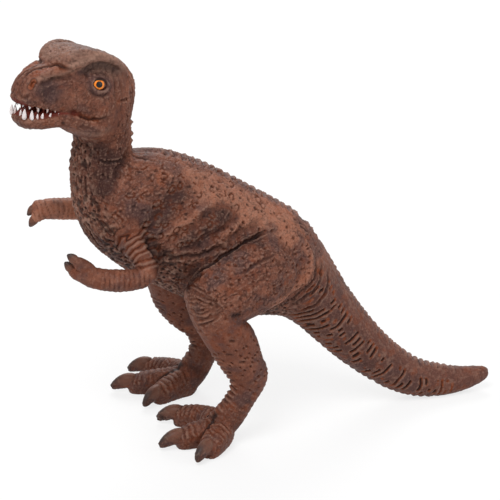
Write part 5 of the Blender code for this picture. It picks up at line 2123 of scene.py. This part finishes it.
@dataclass(frozen=True)
class Claws:
    """The claws of one limb: where each leaves its toe or finger, its tip and its width."""

    name: str
    slot: str
    claws: tuple[tuple[Point, Point, float], ...]
    rise: float
    sunk: float
    profile: tuple[float, ...] = (0.86, 0.98, 1.02, 0.98, 0.88, 0.72, 0.50, 0.22)
    tall: float = 1.12
    darkest: float = 0.9
    coat: Horn = Horn()

    def blend(self, skin: Skin) -> None:
        """Darken the skin that each claw grows from, toward the claw's tip.

        Args:
            skin: The skin to stain.
        """
        for base, tip, width in self.claws:
            line = np.array([base, tip]) * MM
            away, travel = along_path(skin.points, line)
            share = travel / np.linalg.norm(line[1] - line[0])
            near = fade(away, 0.80 * width * MM, 0.55 * width * MM)
            skin.stain(Zone.COOL, 0.9 * near * fade(share, 0.05, 0.5))
            skin.stain(Zone.WASH, 0.5 * near * fade(share, 0.35, 1.0))

    def build(self) -> None:
        """Make every claw as a bowed, blunt spike, darkest along its top and at its tip."""
        mould = Moulding()
        lines = []
        for base, tip, width in self.claws:
            start, end = Vector(base) * MM, Vector(tip) * MM
            root = start - (end - start).normalized() * self.sunk * MM
            radii = [width * 0.5 * share * MM for share in self.profile]
            mould.add(spike(root, end, Vector((0.0, 0.0, self.rise * MM)), radii, 18, self.tall))
            lines.append(np.array([root, end]))
        item = finished(self.name, mould.bm)
        points = read(item.data.vertices, "co", 3)
        measured = [along_path(points, line) for line in lines]
        nearest = np.argmin([away for away, _ in measured], axis=0)
        shares = [travel / np.linalg.norm(line[1] - line[0])
                  for (_, travel), line in zip(measured, lines)]
        share = np.array(shares)[nearest, np.arange(len(points))]
        upward = fade(read(item.data.vertex_normals, "vector", 3)[:, 2], 0.2, 0.95)
        dark = 0.75 * fade(share, 0.40, 0.95) + 0.55 * upward * fade(share, 0.20, 0.65)
        mark(item.data, "tip", np.minimum(dark, self.darkest))
        dress(item, self.coat.material())


UPPER_TEETH = Teeth("upper_teeth", "head", (
    ((19.9, 1.5, -14.2), (19.8, 1.6, -15.6), 1.0),
    ((19.0, 3.9, -14.3), (18.7, 4.1, -15.7), 1.2),
    ((16.3, 5.0, -14.8), (15.9, 5.2, -16.0), 1.0),
    ((13.2, 5.9, -14.6), (13.0, 6.0, -15.5), 0.9),
    ((10.5, 6.3, -14.2), (10.1, 6.4, -14.9), 0.8),
    ((7.8, 7.0, -13.3), (7.5, 7.0, -13.9), 0.7),
), (-0.2, 0.10, 0.0))
LOWER_TEETH = Teeth("lower_teeth", "lower_jaw", (
    ((19.8, 1.6, -17.8), (20.1, 1.6, -16.4), 1.0),
    ((19.6, 3.7, -18.3), (20.3, 3.9, -15.8), 1.6),
    ((17.5, 4.9, -18.0), (18.2, 5.1, -15.7), 1.5),
    ((15.6, 5.3, -17.7), (16.0, 5.5, -16.4), 1.0),
    ((13.9, 5.5, -17.3), (14.2, 5.7, -15.8), 1.25),
    ((11.3, 5.9, -16.5), (11.4, 6.1, -15.2), 1.15),
    ((8.6, 6.4, -15.2), (8.6, 6.5, -14.2), 1.0),
    ((6.0, 7.1, -13.9), (5.9, 7.2, -13.2), 0.8),
), (0.15, 0.12, 0.0))
CLAWS = (
    Claws("left_foot_claws", "left_leg", (
        ((-31.5, -6.6, 4.2), (-37.2, -4.1, 2.3), 4.7),
        ((-35.8, -26.8, 4.2), (-42.2, -27.2, 2.3), 4.7),
        ((-28.2, -38.2, 4.2), (-32.9, -42.4, 2.3), 4.7)), 0.8, 2.7),
    Claws("right_foot_claws", "right_leg", (
        ((-34.0, 11.8, 4.2), (-39.2, 8.3, 2.3), 4.7),
        ((-40.7, 25.6, 4.2), (-46.8, 27.6, 2.3), 4.7),
        ((-31.4, 39.3, 4.2), (-37.0, 42.2, 2.3), 4.7)), 0.8, 2.7),
    Claws("left_hand_claws", "left_arm", (
        ((-70.5, -27.2, 73.8), (-72.5, -27.0, 75.5), 2.9),
        ((-71.3, -24.8, 70.1), (-73.0, -24.8, 72.1), 2.9)), 0.15, 1.2),
    Claws("right_hand_claws", "right_arm", (
        ((-76.7, 10.8, 79.2), (-78.6, 10.8, 77.4), 2.9),
        ((-77.0, 8.0, 76.3), (-78.5, 8.0, 74.2), 2.9)), 0.15, 1.2),
)


@dataclass
class Studio:
    """A pale floor, soft lamps and the camera."""

    target: Point = (-3.6, -7.2, 63.4)
    azimuth: float = -16.0
    elevation: float = 20.0
    distance: float = 0.8
    lens: float = 164.6
    ambient: float = 0.42
    floor_glow: float = 0.75
    floor_half: float = 3.0
    pale: float = 0.9
    lamps: tuple[tuple[str, Point, float, float], ...] = (
        ("key", (-0.45, -0.55, 1.05), 0.6, 10.0),
        ("fill", (0.8, -0.6, 0.45), 0.8, 2.2),
        ("rim", (0.2, 0.8, 0.8), 0.6, 6.0),
    )

    def camera(self) -> None:
        """Set the camera at the photograph's angle."""
        turn, rise = math.radians(self.azimuth), math.radians(self.elevation)
        back = Vector((math.sin(turn) * math.cos(rise), -math.cos(turn) * math.cos(rise),
                       math.sin(rise)))
        right = Vector((math.cos(turn), math.sin(turn), 0.0))
        data = bpy.data.cameras.new("camera")
        data.lens = self.lens
        item = new_object("camera", data)
        matrix = Matrix((right, back.cross(right), back)).transposed().to_4x4()
        matrix.translation = Vector(self.target) * MM + back * self.distance
        item.matrix_world = matrix
        bpy.context.scene.camera = item

    def lamp(self, name: str, place: Point, size: float, power: float) -> None:
        """Add a soft square lamp that looks at the figure.

        Args:
            name: Its name.
            place: Where it hangs, in metres.
            size: The length of its side, in metres.
            power: Its power, in watts.
        """
        data = bpy.data.lights.new(name, "AREA")
        data.size = size
        data.energy = power
        item = new_object(name, data)
        item.location = place
        way = Vector(self.target) * MM - Vector(place)
        item.rotation_euler = way.to_track_quat("-Z", "Y").to_euler()

    def looked_at(self, nodes: Nodes) -> Socket:
        """1 for a ray that shows the background itself, seen straight or reflected.

        Args:
            nodes: The node tree to work in.

        Returns:
            The socket of that share.
        """
        path = nodes.add("LightPath")
        shown = path.outputs["Is Camera Ray"]
        for kind in ("Is Glossy Ray", "Is Transmission Ray"):
            shown = nodes.math("MAXIMUM", shown, path.outputs[kind])
        return shown

    def floor(self) -> None:
        """Lay a white floor that reads as white and keeps the figure's shadow."""
        bm = bmesh.new()
        bmesh.ops.create_grid(bm, x_segments=1, y_segments=1, size=self.floor_half)
        bmesh.ops.translate(bm, verts=bm.verts, vec=Vector((0.0, 0.0, -0.05 * MM)))
        item = finished("floor", bm)
        material = bpy.data.materials.new("floor")
        material.use_nodes = True
        nodes = Nodes(material.node_tree)
        shader = nodes.tree.nodes["Principled BSDF"]
        shader.inputs["Base Color"].default_value = (self.pale, self.pale, self.pale, 1.0)
        shader.inputs["Roughness"].default_value = 0.9
        mixed = nodes.add("MixShader")
        nodes.join(nodes.scaled(self.looked_at(nodes), 0.0, self.floor_glow), mixed.inputs["Fac"])
        nodes.join(shader.outputs["BSDF"], mixed.inputs[1])
        nodes.join(nodes.add("Emission").outputs["Emission"], mixed.inputs[2])
        nodes.join(mixed.outputs["Shader"], nodes.tree.nodes["Material Output"].inputs["Surface"])
        item.data.materials.append(material)

    def world(self) -> None:
        """Light the figure evenly, with a white background to look at."""
        world = bpy.data.worlds.new("world")
        bpy.context.scene.world = world
        world.use_nodes = True
        nodes = Nodes(world.node_tree)
        background = nodes.tree.nodes["Background"]
        background.inputs["Color"].default_value = (1.0, 1.0, 1.0, 1.0)
        strength = nodes.scaled(self.looked_at(nodes), self.ambient, 1.0)
        nodes.join(strength, background.inputs["Strength"])

    def build(self) -> None:
        """Set up everything around the figure."""
        bpy.context.scene.view_settings.view_transform = "Standard"
        self.camera()
        self.floor()
        self.world()
        for name, place, size, power in self.lamps:
            self.lamp(name, place, size, power)


def main() -> None:
    """Build the figure and its studio."""
    logging.basicConfig(level=logging.INFO, format="%(message)s")
    Animal().build()
    for side in Side:
        Eye(side).build()
    UPPER_TEETH.build()
    LOWER_TEETH.build()
    for claws in CLAWS:
        claws.build()
    Studio().build()


if __name__ == "__main__":
    main()
